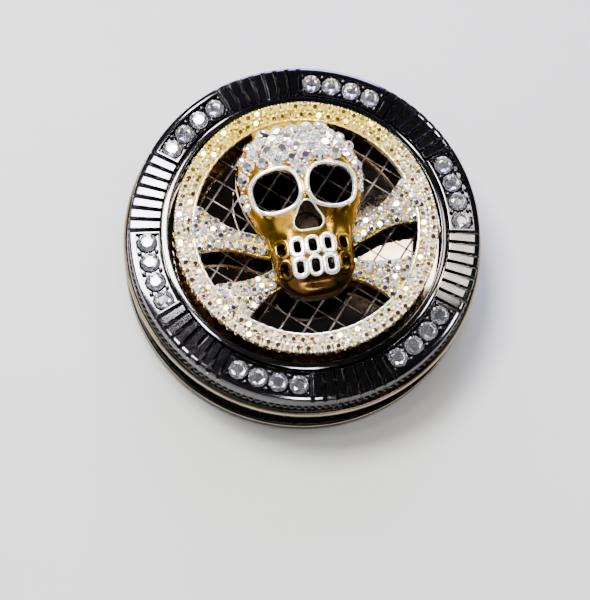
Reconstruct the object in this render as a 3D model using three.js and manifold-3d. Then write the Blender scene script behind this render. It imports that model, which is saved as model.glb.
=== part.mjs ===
// Spinner dealer button: a round black-nickel case with a jewelled, fluted bezel, and a gold
// skull-and-crossbones medallion that turns over it on a ball bearing.
// Millimetres, +Z up. The origin is on the spin axis, in the plane that the felt pad rests on.
// +Y is the skull's own "up" while the medallion is at rest.

import * as THREE from 'three';
import { mergeVertices } from 'three/addons/utils/BufferGeometryUtils.js';
import Module from 'manifold-3d';

const wasm = await Module();
wasm.setup();

// ---------------------------------------------------------------- driving dimensions

const BEZEL_DIAMETER = 60;
const BEZEL_RADIUS = BEZEL_DIAMETER / 2;
const SEAT_GAP = 0.05;         // between pieces that are seated in each other
const CUT_GAP = 0.3;           // between a cut piece and what fills the cut

const LARGE_SEGMENTS = 56;     // round pieces as wide as the case
const SMALL_SEGMENTS = 28;     // the bearing, hub and washers
const SCREW_SEGMENTS = 16;

// heights over the resting plane
const FELT_TOP = 0.9;
const CASE_BOTTOM = 0.5;
const COVER_TOP = 2.1;
const FLOOR_TOP = 3.6;
const BEAD_HEIGHT = 10.7;
const BAND_BOTTOM = 11.8;
const BEZEL_BOTTOM = 14.0;
const PLATE_TOP = 15.0;
const CHANNEL_FLOOR = 16.45;
const MEDALLION_BOTTOM = 18.6;
const MEDALLION_TOP = 20.2;

// case
const FLANGE_RADIUS = 30.7;
const WAIST_RADIUS = 29.5;
const BEAD_RADIUS = 0.9;
const BEAD_REACH = 31.0;
const BAND_RADIUS = 30.2;
const SPIGOT_RADIUS = 28.6;
const PLATE_RADIUS = 24.85;
const PLATE_THICKNESS = 1.0;
const WALL_INNER_RADIUS = 27.3;
const COVER_SEAT_RADIUS = 28.6;

// bezel
const BEZEL_BORE_RADIUS = 24.65;
const INNER_CREST_HEIGHT = 17.4;
const OUTER_CREST_HEIGHT = 16.95;
const BEZEL_CHAMFER = 0.2;
const SECTORS = 6;             // stone channels, with a fluted field between each two
const SECTOR_STEP = (2 * Math.PI) / SECTORS;
const FIRST_CHANNEL_ANGLE = THREE.MathUtils.degToRad(90 - 23);
const CHANNEL_HALF_ANGLE = THREE.MathUtils.degToRad(14.5);
const CHANNEL_INNER_RADIUS = 24.95;
const CHANNEL_OUTER_RADIUS = 28.85;
const LIP_GAP = 0.25;           // the dark line between the lip and the bezel
const LIP_WIDTH = 1.1;
const LIP_CREST_HEIGHT = 17.45;
const STONES_PER_CHANNEL = 4;
const STONE_CIRCLE_RADIUS = 27.0;
const STONE_STEP = THREE.MathUtils.degToRad(7.45);
const STONE_RADIUS = 1.55;
const GROOVES_PER_FIELD = 8;   // they leave seven ribs standing
const GROOVE_STEP = THREE.MathUtils.degToRad(4.05);

// bearing, the common 8 x 22 x 7 size
const BEARING_BORE_RADIUS = 4;
const BEARING_OUTER_RADIUS = 11;
const BEARING_WIDTH = 7;
const BEARING_BOTTOM = 4.4;
const BEARING_TOP = BEARING_BOTTOM + BEARING_WIDTH;
const BALL_COUNT = 7;
const BALL_RADIUS = 1.9;
const BALL_CIRCLE_RADIUS = 7.5;
const BALL_HEIGHT = BEARING_BOTTOM + BEARING_WIDTH / 2;
const RACE_RADIUS = 2.05;
const INNER_LAND_RADIUS = 6.05;
const OUTER_LAND_RADIUS = 9.1;
const BOSS_RADIUS = 14.2;
const BOSS_TOP = 12.6;
const CIRCLIP_THICKNESS = 0.8;

// medallion
const MEDALLION_RADIUS = 22.5;
const WINDOW_RADIUS = 19.0;
const BONE_CROSSING = -5.8;    // where the bones cross, along Y
const BONE_ANGLE = THREE.MathUtils.degToRad(22.3);
const BONE_HALF_WIDTH = 1.75;
const BONE_END_HALF_WIDTH = 4.3;
const BONE_FLARE_LENGTH = 7.5;
const HUB_DISC_RADIUS = 4.4;
const SPIGOT_PIN_RADIUS = 2.4;
const CROWN_PAD_HALF_WIDTH = 6.2;

// skull
const SKULL_WALL = 1.1;
const SKULL_RIM_HEIGHT = 1.2;
const SKULL_HEART = new THREE.Vector2(0, 3);
const RELIEF_LIFT = 0.4;       // height of the polished rims over the bone
const EYE_CENTRE = new THREE.Vector2(4.7, 5.1);
const EYE_HALF_WIDTH = 3.8;
const EYE_HALF_HEIGHT = 3.3;
const EYE_TILT = THREE.MathUtils.degToRad(-10);
const EYE_RIM = 0.75;
const NOSE_HEIGHT = 0.1;
const NOSE_RADIUS = 2.3;
const NOSE_LOBE = 0.36;
const TOOTH_COLUMNS = 5;
const TOOTH_STEP = 2.6;
const TOOTH_ROWS = [-4.7, -8.15];
const TOOTH_HALF_WIDTH = 0.72;
const TOOTH_HALF_HEIGHT = 1.15;

// fasteners
const COVER_SCREW_COUNT = 3;
const COVER_SCREW_CIRCLE = 22;
const COVER_SCREW_TOP = 6.4;
const SCREW_BOSS_RADIUS = 2.6;
const SCREW_BOSS_TOP = 7.4;

// ---------------------------------------------------------------- finishes

function finish(color, roughness, metalness) {
  return new THREE.MeshStandardMaterial({ color, roughness, metalness });
}

const blackNickel = finish(0x1b1b1d, 0.18, 1);
const blackMirror = finish(0x0d0d0e, 0.1, 1);
const goldPlate = finish(0xd6a441, 0.24, 1);
const paveGold = finish(0xd9c9a3, 0.35, 1);
const crystal = finish(0xf2f2f4, 0.05, 0);
const brass = finish(0xb8964f, 0.35, 1);
const bearingSteel = finish(0xb9bcc0, 0.22, 1);
const pressedSteel = finish(0x9fa3a8, 0.38, 1);
const cageNylon = finish(0xe4e0d2, 0.55, 0);
const zincScrew = finish(0xa7abb0, 0.4, 1);
const blackFelt = finish(0x141414, 0.95, 0);

// ---------------------------------------------------------------- geometry helpers

// A turned shape. The profile lists [radius, height] anticlockwise, so the first corner is at the
// bottom. It either runs from the axis to the axis or ends where it began.
function turned(profile, segments) {
  const points = profile.map(([radius, height]) => new THREE.Vector2(radius, height));
  const geometry = new THREE.LatheGeometry(points, segments);
  geometry.rotateX(Math.PI / 2);
  return geometry;
}

function ring(innerRadius, outerRadius, bottom, top, segments) {
  const profile = [
    [innerRadius, bottom],
    [outerRadius, bottom],
    [outerRadius, top],
    [innerRadius, top],
    [innerRadius, bottom],
  ];
  return turned(profile, segments);
}

function disc(radius, bottom, top, segments) {
  return turned([[0, bottom], [radius, bottom], [radius, top], [0, top]], segments);
}

// Points of an arc in the [radius, height] half-plane, both ends included.
function arc(centreRadius, centreHeight, radius, fromDegrees, toDegrees, steps) {
  const points = [];
  for (let step = 0; step <= steps; step += 1) {
    const angle = THREE.MathUtils.degToRad(fromDegrees + ((toDegrees - fromDegrees) * step) / steps);
    points.push([centreRadius + radius * Math.cos(angle), centreHeight + radius * Math.sin(angle)]);
  }
  return points;
}

function prism(shape, bottom, top, curveSegments = 12) {
  const geometry = new THREE.ExtrudeGeometry(shape, {
    depth: top - bottom,
    bevelEnabled: false,
    curveSegments,
  });
  geometry.translate(0, 0, bottom);
  return geometry;
}

function solid(geometry) {
  const bare = geometry.clone();
  bare.deleteAttribute('normal');
  bare.deleteAttribute('uv');
  const merged = mergeVertices(bare, 1e-4);
  const corners = merged.index.array;
  const triangles = [];
  for (let first = 0; first < corners.length; first += 3) {
    const [a, b, c] = corners.slice(first, first + 3);
    if (a !== b && b !== c && c !== a) {
      triangles.push(a, b, c);
    }
  }
  const mesh = new wasm.Mesh({
    numProp: 3,
    vertProperties: new Float32Array(merged.attributes.position.array),
    triVerts: new Uint32Array(triangles),
  });
  return new wasm.Manifold(mesh);
}

function geometryOf(manifold) {
  const mesh = manifold.getMesh();
  const geometry = new THREE.BufferGeometry();
  geometry.setAttribute('position', new THREE.BufferAttribute(mesh.vertProperties, 3));
  geometry.setIndex(new THREE.BufferAttribute(mesh.triVerts, 1));
  geometry.computeVertexNormals();
  return geometry;
}

function cutAll(body, cutters) {
  return cutters.reduce((rest, cutter) => rest.subtract(solid(cutter)), body);
}

function joinAll(geometries) {
  return geometries.map(solid).reduce((whole, piece) => whole.add(piece));
}

const model = new THREE.Group();

function place(name, geometry, material) {
  const mesh = new THREE.Mesh(geometry, material);
  mesh.name = name;
  model.add(mesh);
  return mesh;
}

// Where the nth of several pieces stands that are spread evenly on a circle.
function aroundCircle(index, count, radius, startAngle = Math.PI / 2) {
  const angle = startAngle + (2 * Math.PI * index) / count;
  return new THREE.Vector3(radius * Math.cos(angle), radius * Math.sin(angle), 0);
}

// ---------------------------------------------------------------- case

// The shell has a rounded foot flange, a recessed waist, a half-round bead and a plain band under
// the bezel. Its rim carries the spigot that the bezel caps, and the seat of the dial plate.
function caseShell() {
  const beadCentre = BEAD_REACH - BEAD_RADIUS;
  const beadRoot = THREE.MathUtils.radToDeg(Math.acos((WAIST_RADIUS - beadCentre) / BEAD_RADIUS));
  const profile = [
    [COVER_SEAT_RADIUS, CASE_BOTTOM],
    ...arc(FLANGE_RADIUS - 0.6, CASE_BOTTOM + 0.6, 0.6, -90, 0, 2),
    ...arc(FLANGE_RADIUS - 0.6, CASE_BOTTOM + 1.5, 0.6, 0, 90, 2),
    [WAIST_RADIUS, CASE_BOTTOM + 2.1],
    ...arc(beadCentre, BEAD_HEIGHT, BEAD_RADIUS, -beadRoot, beadRoot, 6),
    [WAIST_RADIUS, BAND_BOTTOM],
    [BAND_RADIUS, BAND_BOTTOM],
    [BAND_RADIUS, BEZEL_BOTTOM],
    [SPIGOT_RADIUS, BEZEL_BOTTOM],
    [SPIGOT_RADIUS, PLATE_TOP],
    [PLATE_RADIUS + SEAT_GAP, PLATE_TOP],
    [PLATE_RADIUS + SEAT_GAP, PLATE_TOP - PLATE_THICKNESS],
    [PLATE_RADIUS - 1.5, PLATE_TOP - PLATE_THICKNESS],
    [PLATE_RADIUS - 1.5, PLATE_TOP - 2 * PLATE_THICKNESS],
    [WALL_INNER_RADIUS, BEAD_HEIGHT],
    [WALL_INNER_RADIUS, FLOOR_TOP],
    [INNER_LAND_RADIUS + 3, FLOOR_TOP],
    [INNER_LAND_RADIUS + 3, COVER_TOP],
    [COVER_SEAT_RADIUS, COVER_TOP],
    [COVER_SEAT_RADIUS, CASE_BOTTOM],
  ];
  return turned(profile, LARGE_SEGMENTS);
}

// The boss on the floor holds the bearing between a lip below and a circlip groove above.
function bearingBoss() {
  const bore = BEARING_OUTER_RADIUS + SEAT_GAP;
  const grooveRadius = bore + 0.7;
  const grooveTop = BEARING_TOP + CIRCLIP_THICKNESS + 0.1;
  const profile = [
    [INNER_LAND_RADIUS + 3, COVER_TOP],
    [BOSS_RADIUS, COVER_TOP],
    [BOSS_RADIUS, BOSS_TOP],
    [bore, BOSS_TOP],
    [bore, grooveTop],
    [grooveRadius, grooveTop],
    [grooveRadius, BEARING_TOP],
    [bore, BEARING_TOP],
    [bore, BEARING_BOTTOM],
    [INNER_LAND_RADIUS + 3, BEARING_BOTTOM],
    [INNER_LAND_RADIUS + 3, COVER_TOP],
  ];
  return turned(profile, SMALL_SEGMENTS);
}

function baseCase() {
  const pieces = [caseShell(), bearingBoss()];
  const holes = [];
  for (let index = 0; index < COVER_SCREW_COUNT; index += 1) {
    const spot = aroundCircle(index, COVER_SCREW_COUNT, COVER_SCREW_CIRCLE);
    const boss = disc(SCREW_BOSS_RADIUS, COVER_TOP, SCREW_BOSS_TOP, SCREW_SEGMENTS);
    const hole = disc(1 + CUT_GAP, COVER_TOP - 1, COVER_SCREW_TOP + CUT_GAP, SCREW_SEGMENTS);
    pieces.push(boss.translate(spot.x, spot.y, 0));
    holes.push(hole.translate(spot.x, spot.y, 0));
  }
  return geometryOf(cutAll(joinAll(pieces), holes));
}

place('base_case', baseCase(), blackNickel);

// ---------------------------------------------------------------- bottom cover and felt

function bottomCover() {
  const cover = solid(disc(COVER_SEAT_RADIUS - SEAT_GAP, FELT_TOP, COVER_TOP, LARGE_SEGMENTS));
  const sinks = [];
  for (let index = 0; index < COVER_SCREW_COUNT; index += 1) {
    const spot = aroundCircle(index, COVER_SCREW_COUNT, COVER_SCREW_CIRCLE);
    const profile = [
      [0, FELT_TOP - 1],
      [2 + CUT_GAP, FELT_TOP - 1],
      [2 + CUT_GAP, FELT_TOP + CUT_GAP],
      [1 + CUT_GAP, FELT_TOP + 1 + CUT_GAP],
      [1 + CUT_GAP, COVER_TOP + 1],
      [0, COVER_TOP + 1],
    ];
    sinks.push(turned(profile, SCREW_SEGMENTS).translate(spot.x, spot.y, 0));
  }
  return geometryOf(cutAll(cover, sinks));
}

function coverScrew() {
  const profile = [
    [0, FELT_TOP],
    [2, FELT_TOP],
    [1, FELT_TOP + 1],
    [1, COVER_SCREW_TOP],
    [0, COVER_SCREW_TOP],
  ];
  const slot = new THREE.BoxGeometry(4.4, 0.5, 0.8).translate(0, 0, FELT_TOP);
  return geometryOf(solid(turned(profile, SCREW_SEGMENTS)).subtract(solid(slot)));
}

place('bottom_cover', bottomCover(), blackNickel);

for (let index = 0; index < COVER_SCREW_COUNT; index += 1) {
  const screw = place(`cover_screw_${index + 1}`, coverScrew(), zincScrew);
  screw.position.copy(aroundCircle(index, COVER_SCREW_COUNT, COVER_SCREW_CIRCLE));
}

place('felt_pad', disc(COVER_SEAT_RADIUS - 0.6, 0, FELT_TOP, LARGE_SEGMENTS), blackFelt);

// ---------------------------------------------------------------- bezel

function bezelBlank() {
  const profile = [
    [SPIGOT_RADIUS + SEAT_GAP, BEZEL_BOTTOM],
    [BEZEL_RADIUS, BEZEL_BOTTOM],
    [BEZEL_RADIUS, OUTER_CREST_HEIGHT - BEZEL_CHAMFER],
    [BEZEL_RADIUS - BEZEL_CHAMFER, OUTER_CREST_HEIGHT],
    [BEZEL_BORE_RADIUS + BEZEL_CHAMFER, INNER_CREST_HEIGHT],
    [BEZEL_BORE_RADIUS, INNER_CREST_HEIGHT - BEZEL_CHAMFER],
    [BEZEL_BORE_RADIUS, PLATE_TOP],
    [SPIGOT_RADIUS + SEAT_GAP, PLATE_TOP],
    [SPIGOT_RADIUS + SEAT_GAP, BEZEL_BOTTOM],
  ];
  return turned(profile, LARGE_SEGMENTS + 8);
}

function channelCutter(centreAngle) {
  const from = centreAngle - CHANNEL_HALF_ANGLE;
  const to = centreAngle + CHANNEL_HALF_ANGLE;
  const outline = new THREE.Shape();
  outline.absarc(0, 0, CHANNEL_OUTER_RADIUS, from, to, false);
  outline.absarc(0, 0, CHANNEL_INNER_RADIUS, to, from, true);
  outline.closePath();
  return prism(outline, CHANNEL_FLOOR, INNER_CREST_HEIGHT + 1, 6);
}

// A flute between two ribs: a trapezoid run right through from the bore to the rim.
function grooveCutter(angle) {
  const top = INNER_CREST_HEIGHT + 0.2;
  const outline = new THREE.Shape([
    new THREE.Vector2(-0.14, CHANNEL_FLOOR),
    new THREE.Vector2(0.14, CHANNEL_FLOOR),
    new THREE.Vector2(0.48, top),
    new THREE.Vector2(-0.48, top),
  ]);
  const geometry = prism(outline, BEZEL_BORE_RADIUS - 0.5, BEZEL_RADIUS + 0.5);
  geometry.rotateX(Math.PI / 2);
  geometry.rotateZ(angle + Math.PI / 2);
  return geometry;
}

function bezelRing() {
  const cutters = [];
  for (let sector = 0; sector < SECTORS; sector += 1) {
    const channelAngle = FIRST_CHANNEL_ANGLE - sector * SECTOR_STEP;
    const fieldAngle = channelAngle - SECTOR_STEP / 2;
    cutters.push(channelCutter(channelAngle));
    for (let groove = 0; groove < GROOVES_PER_FIELD; groove += 1) {
      const offset = (groove - (GROOVES_PER_FIELD - 1) / 2) * GROOVE_STEP;
      cutters.push(grooveCutter(fieldAngle + offset));
    }
  }
  return geometryOf(cutAll(solid(bezelBlank()), cutters));
}

place('bezel_ring', bezelRing(), blackNickel);

// A crystal stands on the channel floor: flat foiled back, sharp girdle, faceted crown and table.
function crystalGeometry() {
  const profile = [
    [0, 0],
    [0.65 * STONE_RADIUS, 0],
    [STONE_RADIUS, 0.4],
    [0.58 * STONE_RADIUS, 0.95],
    [0, 0.95],
  ];
  return turned(profile, 8);
}

const crystalShape = crystalGeometry();
for (let sector = 0; sector < SECTORS; sector += 1) {
  for (let seat = 0; seat < STONES_PER_CHANNEL; seat += 1) {
    const offset = (seat - (STONES_PER_CHANNEL - 1) / 2) * STONE_STEP;
    const angle = FIRST_CHANNEL_ANGLE - sector * SECTOR_STEP - offset;
    const number = sector * STONES_PER_CHANNEL + seat + 1;
    const stone = place(`bezel_crystal_${String(number).padStart(2, '0')}`, crystalShape, crystal);
    stone.position.set(
      STONE_CIRCLE_RADIUS * Math.cos(angle),
      STONE_CIRCLE_RADIUS * Math.sin(angle),
      CHANNEL_FLOOR,
    );
    stone.rotation.z = angle;
  }
}

// ---------------------------------------------------------------- dial plate and inner lip

// Its crown falls gently outwards from a crest near the inner edge.
function innerLipRing() {
  const outer = BEZEL_BORE_RADIUS - LIP_GAP;
  const inner = outer - LIP_WIDTH;
  const profile = [
    [inner, PLATE_TOP],
    [outer, PLATE_TOP],
    [outer, LIP_CREST_HEIGHT - 0.12],
    [inner + 0.5, LIP_CREST_HEIGHT],
    [inner + 0.25, LIP_CREST_HEIGHT],
    [inner, LIP_CREST_HEIGHT - 0.2],
    [inner, PLATE_TOP],
  ];
  return turned(profile, LARGE_SEGMENTS);
}

const dialHole = INNER_LAND_RADIUS;
const plateBottom = PLATE_TOP - PLATE_THICKNESS;
place('dial_plate', ring(dialHole, PLATE_RADIUS, plateBottom, PLATE_TOP, LARGE_SEGMENTS), blackMirror);
place('inner_lip_ring', innerLipRing(), blackNickel);

// ---------------------------------------------------------------- bearing

function bearingOuterRing() {
  const raceReach = Math.acos((OUTER_LAND_RADIUS - BALL_CIRCLE_RADIUS) / RACE_RADIUS);
  const raceEdge = THREE.MathUtils.radToDeg(raceReach);
  const profile = [
    [OUTER_LAND_RADIUS, BEARING_BOTTOM],
    [BEARING_OUTER_RADIUS, BEARING_BOTTOM],
    [BEARING_OUTER_RADIUS, BEARING_TOP],
    [OUTER_LAND_RADIUS, BEARING_TOP],
    ...arc(BALL_CIRCLE_RADIUS, BALL_HEIGHT, RACE_RADIUS, raceEdge, -raceEdge, 4),
    [OUTER_LAND_RADIUS, BEARING_BOTTOM],
  ];
  return turned(profile, SMALL_SEGMENTS);
}

function bearingInnerRing() {
  const raceReach = Math.acos((INNER_LAND_RADIUS - BALL_CIRCLE_RADIUS) / RACE_RADIUS);
  const raceEdge = THREE.MathUtils.radToDeg(raceReach);
  const profile = [
    [BEARING_BORE_RADIUS, BEARING_BOTTOM],
    [INNER_LAND_RADIUS, BEARING_BOTTOM],
    ...arc(BALL_CIRCLE_RADIUS, BALL_HEIGHT, RACE_RADIUS, 360 - raceEdge, raceEdge, 4),
    [INNER_LAND_RADIUS, BEARING_TOP],
    [BEARING_BORE_RADIUS, BEARING_TOP],
    [BEARING_BORE_RADIUS, BEARING_BOTTOM],
  ];
  return turned(profile, SMALL_SEGMENTS);
}

function ballSpot(index) {
  const spot = aroundCircle(index, BALL_COUNT, BALL_CIRCLE_RADIUS);
  spot.z = BALL_HEIGHT;
  return spot;
}

// A crown cage: a ring with pockets open at the top, one for each ball.
function bearingCage() {
  const bottom = BALL_HEIGHT - RACE_RADIUS - 0.75;
  const blank = ring(6.7, 8.3, bottom, BALL_HEIGHT + 0.4, BALL_COUNT * 4);
  const pockets = [];
  for (let index = 0; index < BALL_COUNT; index += 1) {
    const spot = ballSpot(index);
    const pocket = new THREE.SphereGeometry(BALL_RADIUS + 0.25, 8, 6);
    pockets.push(pocket.translate(spot.x, spot.y, spot.z));
  }
  return geometryOf(cutAll(solid(blank), pockets));
}

function bearingShield(bottom) {
  const thickness = 0.35;
  const inner = INNER_LAND_RADIUS + 0.2;
  return ring(inner, OUTER_LAND_RADIUS - SEAT_GAP, bottom, bottom + thickness, SMALL_SEGMENTS);
}

// An internal circlip: an open ring with an eyed lug at each end.
function bearingCirclip() {
  const bottom = BEARING_TOP + SEAT_GAP;
  const top = bottom + CIRCLIP_THICKNESS;
  const outer = BEARING_OUTER_RADIUS + 0.6;
  const inner = BEARING_OUTER_RADIUS - 0.9;
  const halfGap = THREE.MathUtils.degToRad(16);
  const band = new THREE.Shape();
  band.absarc(0, 0, outer, halfGap, 2 * Math.PI - halfGap, false);
  band.absarc(0, 0, inner, 2 * Math.PI - halfGap, halfGap, true);
  band.closePath();
  const pieces = [prism(band, bottom, top, 24)];
  const eyes = [];
  for (const side of [-1, 1]) {
    const x = (inner - 0.5) * Math.cos(halfGap);
    const y = side * (inner - 0.5) * Math.sin(halfGap);
    pieces.push(disc(1.3, bottom, top, SCREW_SEGMENTS).translate(x, y, 0));
    eyes.push(disc(0.6, bottom - 1, top + 1, 8).translate(x, y, 0));
  }
  return geometryOf(cutAll(joinAll(pieces), eyes));
}

place('bearing_outer_ring', bearingOuterRing(), bearingSteel);
place('bearing_inner_ring', bearingInnerRing(), bearingSteel);
place('bearing_cage', bearingCage(), cageNylon);
place('bearing_shield_lower', bearingShield(BEARING_BOTTOM + 0.15), pressedSteel);
place('bearing_shield_upper', bearingShield(BEARING_TOP - 0.5), pressedSteel);
place('bearing_circlip', bearingCirclip(), pressedSteel);

const ballShape = new THREE.SphereGeometry(BALL_RADIUS, 10, 7);
for (let index = 0; index < BALL_COUNT; index += 1) {
  const ball = place(`bearing_ball_${index + 1}`, ballShape, bearingSteel);
  ball.position.copy(ballSpot(index));
}

// ---------------------------------------------------------------- hub

// The hub's stem passes through the bearing, its collar stands on the inner ring, and its top pin
// is staked through the medallion. A tapped hole in the stem takes the retaining screw.
function spinnerHub() {
  const collarTop = BOSS_TOP;
  const tapRadius = 1.65 + CUT_GAP;
  const tapTop = 9.6;
  const stemRadius = BEARING_BORE_RADIUS - SEAT_GAP;
  const profile = [
    [tapRadius, BEARING_BOTTOM],
    [stemRadius, BEARING_BOTTOM],
    [stemRadius, BEARING_TOP],
    [INNER_LAND_RADIUS - 0.9, BEARING_TOP],
    [INNER_LAND_RADIUS - 0.9, collarTop],
    [3.6, collarTop],
    [3.6, MEDALLION_BOTTOM],
    [SPIGOT_PIN_RADIUS, MEDALLION_BOTTOM],
    [SPIGOT_PIN_RADIUS, MEDALLION_TOP],
    [SPIGOT_PIN_RADIUS - 0.4, MEDALLION_TOP + 0.4],
    [0, MEDALLION_TOP + 0.4],
    [0, tapTop],
    [tapRadius, tapTop],
    [tapRadius, BEARING_BOTTOM],
  ];
  return turned(profile, SMALL_SEGMENTS);
}

function retainingScrew() {
  const headTop = BEARING_BOTTOM - 0.8;
  const profile = [
    [0, headTop - 1],
    [2.7, headTop - 1],
    [3.2, headTop - 0.6],
    [3.2, headTop],
    [1.65, headTop],
    [1.65, 9.2],
    [0, 9.2],
  ];
  const slot = new THREE.BoxGeometry(7, 0.7, 1).translate(0, 0, headTop - 1);
  return geometryOf(solid(turned(profile, SCREW_SEGMENTS)).subtract(solid(slot)));
}

const washerBottom = BEARING_BOTTOM - 0.8;
place('spinner_hub', spinnerHub(), brass);
place('screw_washer', ring(2.1, 5.4, washerBottom, BEARING_BOTTOM, SMALL_SEGMENTS), pressedSteel);
place('retaining_screw', retainingScrew(), zincScrew);

// ---------------------------------------------------------------- medallion

// Distance from the bones' crossing to the ring, going along a unit direction.
function reachToRing(direction, radius) {
  const along = BONE_CROSSING * direction.y;
  return -along + Math.sqrt(along * along + radius * radius - BONE_CROSSING * BONE_CROSSING);
}

function boneHalfWidth(distanceToRing) {
  const flare = Math.max(0, 1 - distanceToRing / BONE_FLARE_LENGTH);
  return BONE_HALF_WIDTH + (BONE_END_HALF_WIDTH - BONE_HALF_WIDTH) * flare ** 1.6;
}

// One arm of a bone, from the crossing out into the ring, widening to its knuckle.
function boneArm(angle) {
  const direction = new THREE.Vector2(Math.cos(angle), Math.sin(angle));
  const across = new THREE.Vector2(-direction.y, direction.x);
  const reach = reachToRing(direction, WINDOW_RADIUS);
  const end = reach + 1.2;
  const steps = 7;
  const outline = [];
  for (const side of [-1, 1]) {
    for (let step = 0; step <= steps; step += 1) {
      const fraction = side < 0 ? step / steps : 1 - step / steps;
      const distance = end * Math.sqrt(fraction);
      const halfWidth = boneHalfWidth(Math.max(0, reach - distance));
      outline.push(new THREE.Vector2(
        distance * direction.x + side * halfWidth * across.x,
        BONE_CROSSING + distance * direction.y + side * halfWidth * across.y,
      ));
    }
  }
  return prism(new THREE.Shape(outline), MEDALLION_BOTTOM, MEDALLION_TOP);
}

// The pad that joins the ring to the crown of the skull.
function crownPad() {
  const outline = new THREE.Shape([
    new THREE.Vector2(-CROWN_PAD_HALF_WIDTH, 14.5),
    new THREE.Vector2(CROWN_PAD_HALF_WIDTH, 14.5),
    new THREE.Vector2(CROWN_PAD_HALF_WIDTH + 0.6, 19),
    new THREE.Vector2(-CROWN_PAD_HALF_WIDTH - 0.6, 19),
  ]);
  return prism(outline, MEDALLION_BOTTOM, MEDALLION_TOP);
}

function medallionFrame() {
  const armAngles = [
    BONE_ANGLE,
    Math.PI - BONE_ANGLE,
    Math.PI + BONE_ANGLE,
    -BONE_ANGLE,
  ];
  const pieces = [
    ring(WINDOW_RADIUS, MEDALLION_RADIUS, MEDALLION_BOTTOM, MEDALLION_TOP, LARGE_SEGMENTS),
    disc(HUB_DISC_RADIUS, MEDALLION_BOTTOM, MEDALLION_TOP, SMALL_SEGMENTS),
    crownPad(),
    ...armAngles.map(boneArm),
  ];
  const pinHole = disc(
    SPIGOT_PIN_RADIUS + SEAT_GAP,
    MEDALLION_BOTTOM - 1,
    MEDALLION_TOP + 1,
    SMALL_SEGMENTS,
  );
  return geometryOf(cutAll(joinAll(pieces), [pinHole]));
}

place('medallion_frame', medallionFrame(), paveGold);

// ---------------------------------------------------------------- skull

// The skull's outline from the crown down to the chin, on its +X side.
const SKULL_SIDE = [
  [5.6, 16.7],
  [9.3, 13.3],
  [10.8, 8.6],
  [10.4, 4.2],
  [9.0, 0.6],
  [7.5, -2.4],
  [7.0, -5.6],
  [6.7, -8.6],
  [5.4, -11.3],
  [2.9, -13.0],
];
const SKULL_CROWN = 17.5;
const SKULL_CHIN = -13.4;

function skullOutline() {
  const side = SKULL_SIDE.map(([x, y]) => new THREE.Vector3(x, y, 0));
  const otherSide = SKULL_SIDE.map(([x, y]) => new THREE.Vector3(-x, y, 0)).reverse();
  const points = [
    new THREE.Vector3(0, SKULL_CROWN, 0),
    ...side,
    new THREE.Vector3(0, SKULL_CHIN, 0),
    ...otherSide,
  ];
  return new THREE.CatmullRomCurve3(points, true, 'centripetal');
}

// Height of the skull's ridge over the medallion: a high brow that falls away to the chin.
function ridgeHeight(y) {
  const brow = 6.2 * Math.exp(-(((y - 9.5) / 14) ** 2));
  const jaw = 1.9 * Math.exp(-(((y + 8.5) / 6) ** 2));
  return Math.max(brow + jaw, 3.4);
}

// A closed dome on the skull's outline, drawn in by inset and raised by lift.
function skullDome(inset, lift, bottom, aroundSteps, ringSteps) {
  const rim = skullOutline().getSpacedPoints(aroundSteps).slice(0, aroundSteps);
  const positions = [];
  const pushPoint = (x, y, z) => positions.push(x, y, z);
  for (let ringIndex = ringSteps; ringIndex >= 1; ringIndex -= 1) {
    const spread = Math.sin((Math.PI / 2) * (ringIndex / ringSteps));
    for (const point of rim) {
      const out = new THREE.Vector2(point.x, point.y).sub(SKULL_HEART);
      out.setLength((out.length() - inset) * spread);
      const y = SKULL_HEART.y + out.y;
      const dome = Math.sqrt(Math.max(0, 1 - spread ** 2.6));
      const height = SKULL_RIM_HEIGHT + (ridgeHeight(y) - SKULL_RIM_HEIGHT) * dome;
      pushPoint(SKULL_HEART.x + out.x, y, MEDALLION_TOP + height + lift);
    }
  }
  const topRing = (ringSteps - 1) * aroundSteps;
  const apex = positions.length / 3;
  pushPoint(SKULL_HEART.x, SKULL_HEART.y, MEDALLION_TOP + ridgeHeight(SKULL_HEART.y) + lift);
  const footStart = apex + 1;
  for (let index = 0; index < aroundSteps; index += 1) {
    pushPoint(positions[3 * index], positions[3 * index + 1], bottom);
  }
  const heart = footStart + aroundSteps;
  pushPoint(SKULL_HEART.x, SKULL_HEART.y, bottom);

  const triangles = [];
  for (let index = 0; index < aroundSteps; index += 1) {
    const next = (index + 1) % aroundSteps;
    for (let ringIndex = 0; ringIndex < ringSteps - 1; ringIndex += 1) {
      const low = ringIndex * aroundSteps;
      const high = low + aroundSteps;
      triangles.push(low + index, high + index, low + next);
      triangles.push(low + next, high + index, high + next);
    }
    triangles.push(topRing + index, apex, topRing + next);
    triangles.push(index, next, footStart + index);
    triangles.push(next, footStart + next, footStart + index);
    triangles.push(footStart + index, footStart + next, heart);
  }
  const geometry = new THREE.BufferGeometry();
  geometry.setAttribute('position', new THREE.Float32BufferAttribute(positions, 3));
  geometry.setIndex(triangles);
  return solid(geometry);
}

// An eye socket: a tilted superellipse, mirrored for the other side.
function eyeOutline(side, grow) {
  const points = [];
  const steps = 24;
  for (let step = 0; step < steps; step += 1) {
    const angle = (2 * Math.PI * step) / steps;
    const cosine = Math.cos(angle);
    const sine = Math.sin(angle);
    const x = (EYE_HALF_WIDTH + grow) * Math.sign(cosine) * Math.abs(cosine) ** 0.8;
    const y = (EYE_HALF_HEIGHT + grow) * Math.sign(sine) * Math.abs(sine) ** 0.8;
    const point = new THREE.Vector2(x, y).rotateAround(new THREE.Vector2(), EYE_TILT);
    points.push(new THREE.Vector2(side * (EYE_CENTRE.x + point.x), EYE_CENTRE.y + point.y));
  }
  return new THREE.Shape(side > 0 ? points : points.reverse());
}

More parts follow.
